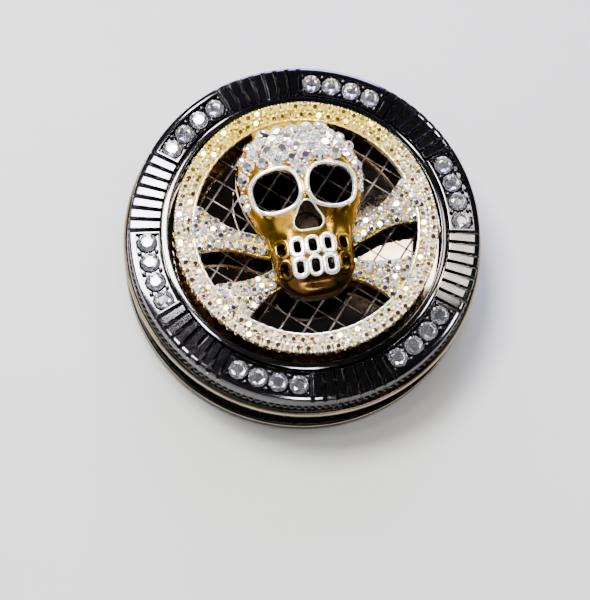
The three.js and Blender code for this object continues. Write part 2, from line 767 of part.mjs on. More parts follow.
// The nose: a rounded triangle with its apex up.
function noseOutline(grow) {
  const points = [];
  const steps = 15;
  for (let step = 0; step < steps; step += 1) {
    const angle = (2 * Math.PI * step) / steps;
    const radius = NOSE_RADIUS + NOSE_LOBE * Math.cos(3 * (angle - Math.PI / 2)) + grow;
    const y = NOSE_HEIGHT + radius * Math.sin(angle);
    points.push(new THREE.Vector2(radius * Math.cos(angle), y));
  }
  return new THREE.Shape(points);
}

function slotOutline(x, y, halfWidth, halfHeight) {
  const corner = 0.35 * Math.min(halfWidth, halfHeight);
  return new THREE.Shape([
    new THREE.Vector2(x - halfWidth + corner, y - halfHeight),
    new THREE.Vector2(x + halfWidth - corner, y - halfHeight),
    new THREE.Vector2(x + halfWidth, y - halfHeight + corner),
    new THREE.Vector2(x + halfWidth, y + halfHeight - corner),
    new THREE.Vector2(x + halfWidth - corner, y + halfHeight),
    new THREE.Vector2(x - halfWidth + corner, y + halfHeight),
    new THREE.Vector2(x - halfWidth, y + halfHeight - corner),
    new THREE.Vector2(x - halfWidth, y - halfHeight + corner),
  ]);
}

function toothOutlines(grow) {
  const outlines = [];
  for (const y of TOOTH_ROWS) {
    for (let column = 0; column < TOOTH_COLUMNS; column += 1) {
      const x = (column - (TOOTH_COLUMNS - 1) / 2) * TOOTH_STEP;
      outlines.push(slotOutline(x, y, TOOTH_HALF_WIDTH + grow, TOOTH_HALF_HEIGHT + grow));
    }
  }
  return outlines;
}

// A thin cast shell, hollow underneath, pierced by the eyes, nose and gaps of the teeth.
function skullShell() {
  const low = MEDALLION_TOP - 2;
  const high = MEDALLION_TOP + 12;
  const through = (outline) => prism(outline, low, high);
  const rimmed = [
    eyeOutline(1, EYE_RIM),
    eyeOutline(-1, EYE_RIM),
    noseOutline(0.5),
    slotOutline(0, (TOOTH_ROWS[0] + TOOTH_ROWS[1]) / 2, 6.1, 3.6),
  ];
  const pierced = [eyeOutline(1, 0), eyeOutline(-1, 0), noseOutline(0), ...toothOutlines(0)];
  const bone = skullDome(0, 0, MEDALLION_TOP, 40, 7);
  const raised = skullDome(0, RELIEF_LIFT, MEDALLION_TOP, 40, 7);
  const hollow = skullDome(SKULL_WALL, -SKULL_WALL, MEDALLION_TOP - 1, 28, 4);
  const rims = raised.intersect(joinAll(rimmed.map(through)));
  return geometryOf(cutAll(bone.add(rims).subtract(hollow), pierced.map(through)));
}

place('skull_shell', skullShell(), goldPlate);

export default model;
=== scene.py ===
import math
import random

import bmesh
import bpy
from mathutils import Matrix, Vector


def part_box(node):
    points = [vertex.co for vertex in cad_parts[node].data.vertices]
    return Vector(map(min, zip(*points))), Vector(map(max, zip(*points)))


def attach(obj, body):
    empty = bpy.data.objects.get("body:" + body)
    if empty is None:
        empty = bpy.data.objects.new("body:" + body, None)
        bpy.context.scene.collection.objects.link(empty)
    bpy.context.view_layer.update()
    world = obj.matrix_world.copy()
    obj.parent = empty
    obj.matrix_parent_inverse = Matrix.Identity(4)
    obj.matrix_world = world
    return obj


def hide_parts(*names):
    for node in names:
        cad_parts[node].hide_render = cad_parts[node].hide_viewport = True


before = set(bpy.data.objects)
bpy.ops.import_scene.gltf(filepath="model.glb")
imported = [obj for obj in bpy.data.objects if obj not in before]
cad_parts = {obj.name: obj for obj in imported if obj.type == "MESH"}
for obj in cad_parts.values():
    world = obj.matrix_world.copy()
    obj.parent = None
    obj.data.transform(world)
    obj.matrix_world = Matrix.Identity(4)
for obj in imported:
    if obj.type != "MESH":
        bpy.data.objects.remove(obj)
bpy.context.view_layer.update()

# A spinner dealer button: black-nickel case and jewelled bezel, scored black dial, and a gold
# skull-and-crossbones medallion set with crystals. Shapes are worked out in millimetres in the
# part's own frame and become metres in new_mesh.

MM = 0.001
TAU = 2 * math.pi


def reach(node):
    """How far a node reaches along X, in millimetres."""
    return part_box(node)[1].x / MM


def top(node):
    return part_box(node)[1].z / MM


def bottom(node):
    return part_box(node)[0].z / MM


# ---------------- sizes, in millimetres

BEZEL_RADIUS = reach("bezel_ring")
BEZEL_TOP = top("bezel_ring")
BEZEL_FOOT = bottom("bezel_ring")
BEAD_REACH = reach("base_case")
CASE_TOP = top("base_case")
CASE_FOOT = bottom("base_case")
LIP_RADIUS = reach("inner_lip_ring")
LIP_TOP = top("inner_lip_ring")
DIAL_RADIUS = reach("dial_plate")
DIAL_TOP = top("dial_plate")
DIAL_BOTTOM = bottom("dial_plate")
MEDALLION_RADIUS = reach("medallion_frame")
MEDALLION_TOP = top("medallion_frame")
MEDALLION_BOTTOM = bottom("medallion_frame")
FELT_RADIUS = reach("felt_pad")
FELT_TOP = top("felt_pad")
CHANNEL_FLOOR = bottom("bezel_crystal_01")
BEZEL_SLOPE = math.radians(5)
STONE_SPOTS = [
    (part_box(node)[0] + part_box(node)[1]) / (2 * MM)
    for node in sorted(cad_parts)
    if node.startswith("bezel_crystal_")
]

ROUND_STEPS = 288              # round a piece as wide as the case

FLANGE_RADIUS = 30.7
WAIST_RADIUS = 29.5
BEAD_HEIGHT = 10.7
BEAD_RADIUS = 0.9
BAND_BOTTOM = 11.8
BAND_RADIUS = 30.2
BAND_NOTCHES = 160
BAND_NOTCH_DEPTH = 0.24
SPIGOT_RADIUS = 28.6
CASE_WALL_INNER = 27.3
CASE_FLOOR = 3.6
COVER_TOP = 2.1
BOSS_RADIUS = 14.2
BOSS_TOP = 12.6
BEARING_BOTTOM = 4.4
BEARING_TOP = 11.4
BEARING_RADIUS = 11.05
FLOOR_HOLE_RADIUS = 9.05

SECTORS = 6
SECTOR_DEGREES = 360 / SECTORS
FIRST_CHANNEL_ANGLE = math.atan2(
    sum(spot.y for spot in STONE_SPOTS[:4]), sum(spot.x for spot in STONE_SPOTS[:4])
)
CHANNEL_HALF_DEGREES = 14.5
CHANNEL_INNER = 24.95
CHANNEL_OUTER = 28.85
BEZEL_BORE = LIP_RADIUS + 0.25
LIP_WIDTH = 1.1
GROOVE_COUNT = 8
GROOVE_STEP_DEGREES = 4.05
SPOKE_STEP = 1.25              # degrees between the evenly spaced spokes of the bezel's grid
STONE_CIRCLE = math.hypot(STONE_SPOTS[0].x, STONE_SPOTS[0].y)
STONE_RADIUS = 1.66
STONE_CROWN = 0.52
STONE_LIFT = 0.42              # girdle over the channel floor
PRONG_STEP = math.radians(7.45)
PRONG_OFFSET = 1.42            # to each side of the stones' circle
PRONG_RADIUS = 0.4

CASTING_TOP = MEDALLION_TOP - 0.25
SCALLOP_DEPTH = 0.28
HUB_DISC_RADIUS = 4.4
PIN_HOLE_RADIUS = 2.45
CROWN_PAD = [(-6.2, 14.5), (6.2, 14.5), (6.8, 19.5), (-6.8, 19.5)]
RING_UNITS = 80                # stones to each row of the ring
RING_ROWS = ((21.55, 0.8, 0), (20.05, 0.76, 0.5))    # circle, stone radius, shift in units
INNER_BEADS = 20.8
OUTER_BEADS = 22.15
WINDOW_WIRE = 19.2
PAVE_PITCH = 1.5               # along and across the bones
FOREHEAD_TOP = 16.55
FOREHEAD_STEP = 2.45
FOREHEAD_ROW_STEP = 2.1
FOREHEAD_STONE = 1.24
FOREHEAD_FILLER = 0.9
# Shares of the small stones' facets that get the dark finish, painted shade for facets that would reflect
# darkness.
TABLE_PAINTED_DARK_SHARE = 0.6         # of the small stones' tables
PAINTED_DARK_SHARE = 0.2               # of their other facets
BONE_CROSSING = -5.8
BONE_CROSS = Vector((0, BONE_CROSSING))
BONE_ANGLE = math.radians(22.3)
BONE_ANGLES = (BONE_ANGLE, math.pi - BONE_ANGLE, math.pi + BONE_ANGLE, -BONE_ANGLE)
BONE_HALF_WIDTH = 1.75
BONE_END_HALF_WIDTH = 4.3
BONE_FLARE_LENGTH = 7.5
WINDOW_RADIUS = 19.0

SKULL_HEART = Vector((0, 3))
SKULL_SIDE = [
    (0, 17.5), (5.6, 16.7), (9.3, 13.3), (10.8, 8.6), (10.4, 4.2), (9.0, 0.6),
    (7.5, -2.4), (7.0, -5.6), (6.7, -8.6), (5.4, -11.3), (2.9, -13.0), (0, -13.4),
]
SKULL_RIM_HEIGHT = 1.2
SKULL_WALL = 1.0
EYE_CENTRE = Vector((4.7, 5.1))
EYE_HALF_SIZE = Vector((3.8, 3.3))
EYE_TILT = math.radians(-10)
EYE_RIM_HALF_WIDTH = 0.37
NOSE_HEIGHT = 0.1
NOSE_RADIUS = 2.3
TOOTH_COLUMNS = 5
TOOTH_STEP = 2.6
TOOTH_ROWS = (-4.7, -8.15)
TOOTH_HALF_SIZE = Vector((0.72, 1.15))

LATTICE_ANGLE = math.radians(49)
LATTICE_STEPS = (3.5, 3.63)
LATTICE_SHIFTS = (0.28, 2.1)
LATTICE_REACH = 20.6
SCORE_WIDTHS = (0.24, 0.34)
SCORE_DEPTH = 0.15

FLOOR_HALF_WIDTH = 1500
CAMERA_PLACE = Vector((-48.07, -125.23, 398.0))    # from the stones' plane, like the next
CAMERA_AIM = Vector((-3.77, -11.78, 0))
CAMERA_ROLL_DEGREES = 12.3
CAMERA_LENS = 147.84
LIGHTS_AIM = Vector((0, 0, 0.017))                 # in metres, like the place of every light
GLINT_SPOTS = ((-0.06, 0.45), (0.32, 0.36), (0.3, 0.0), (0.02, -0.1), (-0.14, 0.03))


# ---------------- mesh helpers


def on_circle(radius, angle, height=0.0):
    """A point round the axis, as (x, y, z)."""
    return radius * math.cos(angle), radius * math.sin(angle), height


def circle(radius, height, sides, shift=0.0):
    """Points round the axis. shift turns them by a share of a side."""
    return [on_circle(radius, TAU * (side + shift) / sides, height) for side in range(sides)]


def facing(normal):
    """The turn that takes +Z to a normal."""
    return normal.to_track_quat("Z", "Y").to_matrix()


def placed_rings(levels, centre, turn, scale=1.0):
    """Rings of points, each (sides, radius, height, shift), scaled, turned and moved to centre."""
    return [
        centre + turn @ (Vector(spot) * scale)
        for sides, radius, height, shift in levels
        for spot in circle(radius, height, sides, shift)
    ]


def face_outwards(mesh):
    """Turn every face of a closed mesh outwards."""
    bm = bmesh.new()
    bm.from_mesh(mesh)
    bmesh.ops.recalc_face_normals(bm, faces=bm.faces)
    bm.to_mesh(mesh)
    bm.free()


def new_mesh(name, points, faces, materials=(), face_slots=None):
    """A mesh from points in millimetres."""
    mesh = bpy.data.meshes.new(name)
    mesh.from_pydata([Vector(point) * MM for point in points], [], faces)
    for material in materials:
        mesh.materials.append(material)
    if face_slots:
        mesh.polygons.foreach_set("material_index", face_slots)
    return mesh


def add_object(name, data):
    added = bpy.data.objects.new(name, data)
    bpy.context.scene.collection.objects.link(added)
    return added


def build_mesh(name, points, faces, materials, body, sharp_degrees=35, face_slots=None):
    """A shown piece from points in millimetres. It rides on body."""
    return finish_piece(name, new_mesh(name, points, faces, materials, face_slots), body, sharp_degrees)


def finish_piece(name, mesh, body, sharp_degrees):
    """A smooth-shaded piece that keeps its sharp edges, riding on body if there is one."""
    face_outwards(mesh)
    mesh.polygons.foreach_set("use_smooth", [True] * len(mesh.polygons))
    mesh.set_sharp_from_angle(angle=math.radians(sharp_degrees))
    piece = add_object(name, mesh)
    if body:
        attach(piece, body)
    return piece


def ring_faces(rows, columns, closed_rows=False):
    """Quads of a grid of points that closes round its columns."""
    faces = []
    for row in range(rows if closed_rows else rows - 1):
        following = (row + 1) % rows
        for column in range(columns):
            after = (column + 1) % columns
            faces.append((
                row * columns + column,
                row * columns + after,
                following * columns + after,
                following * columns + column,
            ))
    return faces


def arc(centre_radius, centre_height, radius, from_degrees, to_degrees, steps):
    """Corners of a turned profile, as (radius, height), along part of a circle."""
    points = []
    for step in range(steps + 1):
        angle = math.radians(from_degrees + (to_degrees - from_degrees) * step / steps)
        across, up, _ = on_circle(radius, angle)
        points.append((centre_radius + across, centre_height + up))
    return points


def turned(name, profile, materials, body, steps=ROUND_STEPS, row_slots=None):
    """A turned ring: profile is a closed loop of (radius, height), row_slots its materials."""
    points = [spot for radius, height in profile for spot in circle(radius, height, steps)]
    faces = ring_faces(len(profile), steps, closed_rows=True)
    slots = [slot for slot in row_slots for _ in range(steps)] if row_slots else None
    return build_mesh(name, points, faces, materials, body, face_slots=slots)


def waved(rows, steps, wave):
    """A closed turned solid of rows (radius, height, share) that the wave moves in and out."""
    points = [
        on_circle(radius + share * wave(step), TAU * step / steps, height)
        for radius, height, share in rows
        for step in range(steps)
    ]
    return points, ring_faces(len(rows), steps, closed_rows=True)


def squared(value, power):
    """A sine or cosine pushed outwards, so that a circle becomes a rounded square."""
    return math.copysign(abs(value) ** power, value)


def swept_loop(points, normals, half_width, half_height):
    """Points and faces of a closed bar along a loop, its flattened top facing each normal."""
    sides = 14
    bar = []
    for index, point in enumerate(points):
        tangent = (points[(index + 1) % len(points)] - points[index - 1]).normalized()
        across = tangent.cross(normals[index]).normalized()
        up = across.cross(tangent)
        for x, y, _ in circle(1, 0, sides):
            bar.append(point + across * half_width * squared(x, 0.6) + up * half_height * squared(y, 0.6))
    return bar, ring_faces(len(points), sides, closed_rows=True)


def join_parts(parts):
    """One list of points and one of faces from several (points, faces)."""
    points = []
    faces = []
    for part_points, part_faces in parts:
        start = len(points)
        points.extend(part_points)
        faces.extend(tuple(start + corner for corner in face) for face in part_faces)
    return points, faces


def prism(outline, low, high):
    """Points and faces of a closed prism on an outline of (x, y)."""
    count = len(outline)
    points = [(x, y, low) for x, y in outline] + [(x, y, high) for x, y in outline]
    faces = [tuple(reversed(range(count))), tuple(range(count, 2 * count))]
    for index in range(count):
        after = (index + 1) % count
        faces.append((index, after, count + after, count + index))
    return points, faces


def loose_object(name, points, faces):
    """A helper object for a boolean. It isn't a piece, and is deleted after use."""
    mesh = new_mesh(name, points, faces)
    face_outwards(mesh)
    return add_object(name, mesh)


def boolean_result(base, tools):
    """The mesh of base after each (operation, helper). All helpers are deleted."""
    for operation, tool in tools:
        modifier = base.modifiers.new(operation, "BOOLEAN")
        modifier.operation = operation
        modifier.solver = "EXACT"
        modifier.object = tool
    bpy.context.view_layer.update()
    evaluated = base.evaluated_get(bpy.context.evaluated_depsgraph_get())
    mesh = bpy.data.meshes.new_from_object(evaluated)
    for helper in [base] + [tool for _, tool in tools]:
        bpy.data.objects.remove(helper)
    return mesh


# ---------------- materials


def add_node(tree, kind, inputs, **settings):
    """The outputs of a new node. Each of its inputs is a fixed value or another node's output."""
    node = tree.nodes.new(kind)
    for setting, value in settings.items():
        setattr(node, setting, value)
    for socket, value in inputs.items():
        if isinstance(value, bpy.types.NodeSocket):
            tree.links.new(value, node.inputs[socket])
        else:
            node.inputs[socket].default_value = value
    return node.outputs


def map_range(low, high, from_low, from_high):
    """The limits of a Map Range node."""
    return {"From Min": from_low, "From Max": from_high, "To Min": low, "To Max": high}


class Finish:
    """A principled material, built up from noise in object space."""

    def __init__(self, name, metallic, sockets=None):
        self.material = bpy.data.materials.new(name)
        self.material.use_nodes = True
        self.shader = self.material.node_tree.nodes["Principled BSDF"]
        self.shader.inputs["Metallic"].default_value = metallic
        for socket, value in (sockets or {}).items():
            self.shader.inputs[socket].default_value = value
        self.place = self.add("TexCoord", {})["Object"]

    def add(self, kind, inputs, **settings):
        return add_node(self.material.node_tree, "ShaderNode" + kind, inputs, **settings)

    def drive(self, socket, value):
        self.material.node_tree.links.new(value, self.shader.inputs[socket])

    def noise(self, scale, stretch=None):
        """scale counts features to the metre."""
        source = self.place
        if stretch:
            source = self.add("Mapping", {"Vector": source, "Scale": stretch})["Vector"]
        return self.add("TexNoise", {"Scale": scale, "Detail": 3, "Vector": source})["Fac"]

    def spread(self, value, low, high, from_low=0.3, from_high=0.7):
        inputs = {"Value": value, **map_range(low, high, from_low, from_high)}
        return self.add("MapRange", inputs)["Result"]

    def blend(self, factor, color_a, color_b):
        """A colour between two, each of them fixed or another node's output."""
        inputs = {"Factor": factor}
        for socket, color in (("A", color_a), ("B", color_b)):
            inputs[socket] = (*color, 1) if isinstance(color, tuple) else color
        return self.add("Mix", inputs, data_type="RGBA")["Result"]

    def clouds(self, scale, deep, light):
        """A colour that drifts between two tones."""
        return self.blend(self.spread(self.noise(scale), 0, 1), deep, light)

    def along(self, axis):
        """The place along one of the object's axes, in millimetres."""
        split = self.add("SeparateXYZ", {"Vector": self.place})
        return self.add("Math", {0: split[axis], 1: MM}, operation="DIVIDE")["Value"]

    def oval_reach(self, centre, half_size):
        """Distance from an upright oval's axis, where 1 is on the oval. Sizes in millimetres."""
        scale = [1 / (half * MM) for half in half_size]
        shift = [-middle * MM * share for middle, share in zip(centre, scale)]
        mapping = {"Vector": self.place, "Scale": (*scale, 0), "Location": (*shift, 0)}
        local = self.add("Mapping", mapping)["Vector"]
        return self.add("VectorMath", {0: local}, operation="LENGTH")["Value"]

    def polish(self, roughness, marks, stretch=None):
        """Roughness that wanders between two values in fine marks."""
        self.drive("Roughness", self.spread(self.noise(marks, stretch), *roughness))

    def dents(self, scale, depth):
        """Shallow dents, depth in millimetres."""
        bump = self.add("Bump", {"Height": self.noise(scale), "Distance": depth * MM})
        self.drive("Normal", bump["Normal"])


def mottled(name, metallic, deep, light, roughness, clouds, marks, dents, stretch=None, sockets=None):
    """A finish clouded between two tones, with fine marks in its polish and shallow dents."""
    finish = Finish(name, metallic, sockets)
    finish.drive("Base Color", finish.clouds(clouds, deep, light))
    finish.polish(roughness, marks, stretch)
    finish.dents(*dents)
    return finish.material


def machined(name, deep, light, roughness, brushed=0, depth=0.003):
    """A metal of the underside. brushed draws its marks out round the axis."""
    stretch = (1, 1, brushed) if brushed else None
    return mottled(name, 1, deep, light, roughness, 180, 1600, (1600, depth), stretch)


def face_gold():
    """The skull's polished gold, painted darker brown towards the chin as shade."""
    finish = Finish("polished_gold", 1)
    bright = finish.clouds(260, (0.24, 0.095, 0.008), (0.6, 0.33, 0.03))
    # Painted shade: below the nose the gold darkens to brown, fully by y -9.5 near the chin.
    painted_shade_to_chin = finish.spread(finish.along("Y"), 1, 0, -9.5, 1)
    finish.drive("Base Color", finish.blend(painted_shade_to_chin, bright, (0.055, 0.027, 0.007)))
    finish.polish((0.12, 0.26), 800)
    finish.dents(600, 0.012)
    return finish.material


def small_crystal(name, metallic, deep, light, by_crown):
    """Foiled stones that read as mirrors. by_crown is their tint near the skull's crown."""
    finish = Finish(name, metallic, {"Coat Weight": 1.0, "Coat Roughness": 0.02})
    near_crown = finish.spread(finish.along("Y"), 0, 0.9, 6, 17)
    finish.drive("Base Color", finish.blend(near_crown, finish.clouds(430, deep, light), by_crown))
    finish.polish((0.02, 0.1), 900)
    return finish.material


def cast_gold():
    """The medallion's yellow gold, painted near black as shade where the hollow skull covers it."""
    finish = Finish("cast_gold", 1)
    plated = finish.clouds(320, (0.14, 0.07, 0.002), (0.5, 0.33, 0.008))
    # Painted shade: inside these two ovals under the skull the gold turns near black.
    brain = finish.oval_reach((0, 7.5), (9.2, 8.8))
    jaw = finish.oval_reach((0, -4), (5.9, 8.0))
    nearer = finish.add("Math", {0: brain, 1: jaw}, operation="MINIMUM")["Value"]
    outside_painted_shade = finish.spread(nearer, 0, 1, 0.97, 1.03)
    finish.drive("Base Color", finish.blend(outside_painted_shade, (0.008, 0.006, 0.004), plated))
    finish.polish((0.15, 0.38), 700)
    finish.dents(900, 0.006)
    return finish.material


# Metals of the case: black nickel, a much darker copy of it that is painted shade, a pale warm edge that
# is a painted highlight, the dial's black mirror and its scored lines.
BLACK_NICKEL = mottled(
    "black_nickel", 1, (0.062, 0.058, 0.066), (0.1, 0.095, 0.1), (0.05, 0.1), 240, 900, (420, 0.0012),
    stretch=(1, 14, 3),
)
# A much darker copy of the black nickel: painted shade on the case's sides, the coin edge, the bezel's
# outer side and underside, and the stone seats.
PAINTED_SHADE_NICKEL = mottled(
    "painted_shade_nickel", 1, (0.006, 0.0055, 0.006), (0.018, 0.016, 0.015), (0.12, 0.3), 200, 800, (420, 0.004),
)
# A pale warm copy of the case metal: a painted highlight along the bead's top and the foot's shoulder.
PAINTED_HIGHLIGHT_EDGE = mottled(
    "painted_highlight_edge", 1, (0.26, 0.19, 0.12), (0.5, 0.4, 0.27), (0.14, 0.28), 160, 900, (500, 0.004),
)
DIAL_BLACK = mottled(
    "dial_black", 1, (0.1, 0.078, 0.062), (0.18, 0.148, 0.125), (0.015, 0.045), 300, 700, (160, 0.0003),
)
SCORED = mottled(
    "scored_metal", 1, (0.07, 0.054, 0.05), (0.46, 0.41, 0.39), (0.2, 0.42), 330, 1500, (1200, 0.005),
)

# Golds of the medallion.
GOLD = face_gold()
# A pale gold that paints the blown highlight on the eye, nose and middle tooth rims.
PAINTED_HIGHLIGHT_GOLD = mottled(
    "painted_highlight_gold", 0.75, (1.0, 0.93, 0.8), (1.0, 0.97, 0.9), (0.12, 0.24), 260, 800, (400, 0.001),
)
CAST_GOLD = cast_gold()
BEAD_GOLD = mottled(
    "bead_gold", 0.85, (1.0, 0.66, 0.26), (1.0, 0.9, 0.62), (0.08, 0.2), 260, 800, (600, 0.006),
)
RING_BEAD = small_crystal("ring_bead", 0.7, (1, 0.87, 0.62), (1, 0.99, 0.92), (1, 0.72, 0.02))
# Near-black painted shade for the skull's hollow inside, seen through the eyes, nose and teeth.
PAINTED_SHADE_BLACK = mottled(
    "painted_shade_black", 0.6, (0.006, 0.0045, 0.004), (0.026, 0.017, 0.012), (0.3, 0.6), 500, 800, (900, 0.01),
)

# Stones: clear crystals over foil, and small foiled ones that read as mirrors, with dark copies whose
# colour is painted shade on some facets.
CRYSTAL = mottled(
    "cut_crystal", 0, (0.95, 0.95, 0.98), (1, 1, 1), (0.0, 0.03), 900, 900, (300, 0.0005),
    sockets={"IOR": 1.62, "Transmission Weight": 1.0},
)
FOIL = mottled("foil", 0.9, (0.74, 0.72, 0.76), (1, 1, 1), (0.02, 0.1), 700, 700, (700, 0.001))
PAVE = small_crystal("pave_crystal", 0.76, (0.92, 0.89, 0.9), (1, 1, 1), (1, 1, 1))
# Dark copy of the pave finish: painted shade on some facets.
PAVE_PAINTED_DARK = small_crystal("pave_painted_dark", 0.95, (0.14, 0.1, 0.1), (0.52, 0.46, 0.48), (0.4, 0.37, 0.38))
CHAMPAGNE = small_crystal("champagne_crystal", 0.62, (1, 0.9, 0.66), (1, 1, 0.96), (1, 0.84, 0.08))
# Dark copy of the champagne finish: painted shade on some facets.
CHAMPAGNE_PAINTED_DARK = small_crystal(
    "champagne_painted_dark", 0.95, (0.3, 0.12, 0.04), (0.72, 0.46, 0.26), (0.72, 0.4, 0.01),
)

# Underside and bearing.
FELT = mottled(
    "black_felt", 0, (0.008, 0.008, 0.01), (0.05, 0.05, 0.055), (0.85, 1.0), 2600, 2600, (2600, 0.18),
    sockets={"Sheen Weight": 0.6, "Sheen Roughness": 0.5},
)
# Near-black brass for the hub: painted shade where it shows through the skull's nose.
PAINTED_SHADE_BRASS = machined("painted_shade_brass", (0.006, 0.0045, 0.003), (0.02, 0.014, 0.009), (0.22, 0.44), 8)
STEEL = machined("bearing_steel", (0.6, 0.61, 0.63), (0.78, 0.79, 0.8), (0.1, 0.22), 8, 0.002)
PRESSED = machined("pressed_steel", (0.45, 0.46, 0.48), (0.62, 0.63, 0.65), (0.22, 0.44))
ZINC = machined("zinc_plate", (0.5, 0.51, 0.55), (0.7, 0.71, 0.74), (0.26, 0.5))
NYLON = mottled(
    "cage_nylon", 0, (0.7, 0.67, 0.58), (0.84, 0.82, 0.75), (0.4, 0.6), 300, 900, (2000, 0.006),
    sockets={"Subsurface Weight": 0.15},
)
PALE_FLOOR = mottled(
    "pale_floor", 0, (0.46, 0.455, 0.44), (0.49, 0.485, 0.47), (0.55, 0.65), 6, 40, (300, 0.01),
)


# ---------------- carried-over nodes


def smooth_by_angle():
    """A node group that shades a faceted mesh smooth up to an angle."""
    group = bpy.data.node_groups.new("smooth_by_angle", "GeometryNodeTree")
    for direction in ("INPUT", "OUTPUT"):
        group.interface.new_socket("Geometry", in_out=direction, socket_type="NodeSocketGeometry")
    faceted = add_node(group, "NodeGroupInput", {})[0]
    weld = {"Geometry": faceted, "Distance": 0.001 * MM}
    welded = add_node(group, "GeometryNodeMergeByDistance", weld)["Geometry"]
    smooth = add_node(group, "GeometryNodeSetShadeSmooth", {"Geometry": welded})["Geometry"]
    bend = add_node(group, "GeometryNodeInputMeshEdgeAngle", {})["Unsigned Angle"]
    limit = {"A": bend, "B": math.radians(30)}
    steep = add_node(group, "FunctionNodeCompare", limit, operation="GREATER_THAN")["Result"]
    mark = {"Geometry": smooth, "Name": "sharp_edge", "Value": steep}
    marked = add_node(group, "GeometryNodeStoreNamedAttribute", mark, data_type="BOOLEAN", domain="EDGE")
    add_node(group, "NodeGroupOutput", {0: marked["Geometry"]})
    return group


CARRIED = {                    # by how the node's name starts
    "spinner_hub": PAINTED_SHADE_BRASS,
    "bottom_cover": BLACK_NICKEL,
    "bearing_outer_ring": STEEL,
    "bearing_inner_ring": STEEL,
    "bearing_ball_": STEEL,
    "bearing_cage": NYLON,
    "bearing_shield_": PRESSED,
    "bearing_circlip": PRESSED,
    "screw_washer": PRESSED,
    "retaining_screw": ZINC,
    "cover_screw_": ZINC,
}


def dress_carried_nodes():
    group = smooth_by_angle()
    for node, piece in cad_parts.items():
        for start, finish in CARRIED.items():
            if node.startswith(start):
                for slot in piece.material_slots:
                    slot.material = finish
                modifier = piece.modifiers.new("smooth_by_angle", "NODES")
                modifier.node_group = group


# ---------------- case


def make_case():
    bead_centre = BEAD_REACH - BEAD_RADIUS
    bead_root = math.degrees(math.acos((WAIST_RADIUS - bead_centre) / BEAD_RADIUS))
    seat = DIAL_RADIUS + 0.05
    profile = [
        (SPIGOT_RADIUS, CASE_FOOT),
        *arc(FLANGE_RADIUS - 0.6, CASE_FOOT + 0.6, 0.6, -90, 0, 8),
        *arc(FLANGE_RADIUS - 0.6, CASE_FOOT + 1.5, 0.6, 0, 90, 8),
        (WAIST_RADIUS + 0.15, CASE_FOOT + 2.1),
        (WAIST_RADIUS, CASE_FOOT + 2.25),
        *arc(bead_centre, BEAD_HEIGHT, BEAD_RADIUS, -bead_root, bead_root, 18),
        (WAIST_RADIUS, BAND_BOTTOM),
        (WAIST_RADIUS, BEZEL_FOOT - 0.1),
        (SPIGOT_RADIUS, BEZEL_FOOT - 0.1),
        (SPIGOT_RADIUS, CASE_TOP),
        (seat, CASE_TOP),
        (seat, DIAL_BOTTOM),
        (DIAL_RADIUS - 1.5, DIAL_BOTTOM),
        (DIAL_RADIUS - 1.5, DIAL_BOTTOM - 1),
        (CASE_WALL_INNER, BEAD_HEIGHT),
        (CASE_WALL_INNER, CASE_FLOOR),
        (BOSS_RADIUS, CASE_FLOOR),
        (BOSS_RADIUS, BOSS_TOP),
        (BEARING_RADIUS, BOSS_TOP),
        (BEARING_RADIUS, BEARING_TOP + 0.9),
        (BEARING_RADIUS + 0.7, BEARING_TOP + 0.9),
        (BEARING_RADIUS + 0.7, BEARING_TOP),
        (BEARING_RADIUS, BEARING_TOP),
        (BEARING_RADIUS, BEARING_BOTTOM),
        (FLOOR_HOLE_RADIUS, BEARING_BOTTOM),
        (FLOOR_HOLE_RADIUS, COVER_TOP),
        (SPIGOT_RADIUS, COVER_TOP),
    ]
    foot_shoulder = CASE_FOOT + 1.75
    # Rows on the bead's top and the foot's shoulder take the painted highlight; the rest of the case
    # takes the darker nickel, painted shade.
    painted_highlight_rows = [
        int(
            radius > bead_centre and BEAD_HEIGHT + 0.15 < height < BEAD_HEIGHT + 0.7
            or radius > WAIST_RADIUS + 1 and abs(height - foot_shoulder) < 0.12
        )
        for radius, height in profile
    ]
    case = turned("case_shell", profile, [PAINTED_SHADE_NICKEL, PAINTED_HIGHLIGHT_EDGE], "case", row_slots=painted_highlight_rows)
    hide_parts("base_case")
    make_coin_edge()


def make_coin_edge():
    """The coin-edge band under the bezel: rounded teeth between V notches."""
    steps_to_tooth = 8
    rows = [
        (WAIST_RADIUS - 0.3, BAND_BOTTOM, 0),
        (BAND_RADIUS - 0.25, BAND_BOTTOM, 0.2),
        (BAND_RADIUS, BAND_BOTTOM + 0.22, 1),
        (BAND_RADIUS, BEZEL_FOOT - 0.3, 1),
        (BAND_RADIUS - 0.25, BEZEL_FOOT - 0.08, 0.2),
        (WAIST_RADIUS - 0.3, BEZEL_FOOT - 0.08, 0),
    ]

    def notch(step):
        phase = (step % steps_to_tooth) / steps_to_tooth
        return -BAND_NOTCH_DEPTH * max(0, 1 - abs(phase - 0.5) / 0.28)

    solid = waved(rows, BAND_NOTCHES * steps_to_tooth, notch)
    # The band takes the darker nickel, painted shade.
    band = build_mesh("case_coin_edge", *solid, [PAINTED_SHADE_NICKEL], "case")


def make_felt():
    rows = [
        (0.4, 0), (FELT_RADIUS * 0.5, 0), (FELT_RADIUS - 0.25, 0), (FELT_RADIUS, 0.2),
        (FELT_RADIUS, FELT_TOP - 0.02), (0.4, FELT_TOP - 0.02),
    ]
    pad = turned("felt_pad_nap", rows, [FELT], "case", 192)
    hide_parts("felt_pad")


# ---------------- bezel


def ramp(value, corners):
    """Piecewise-linear: corners is a list of (value, result)."""
    if value <= corners[0][0]:
        return corners[0][1]
    for (low, from_result), (high, to_result) in zip(corners, corners[1:]):
        if value <= high:
            return from_result + (to_result - from_result) * (value - low) / (high - low)
    return corners[-1][1]


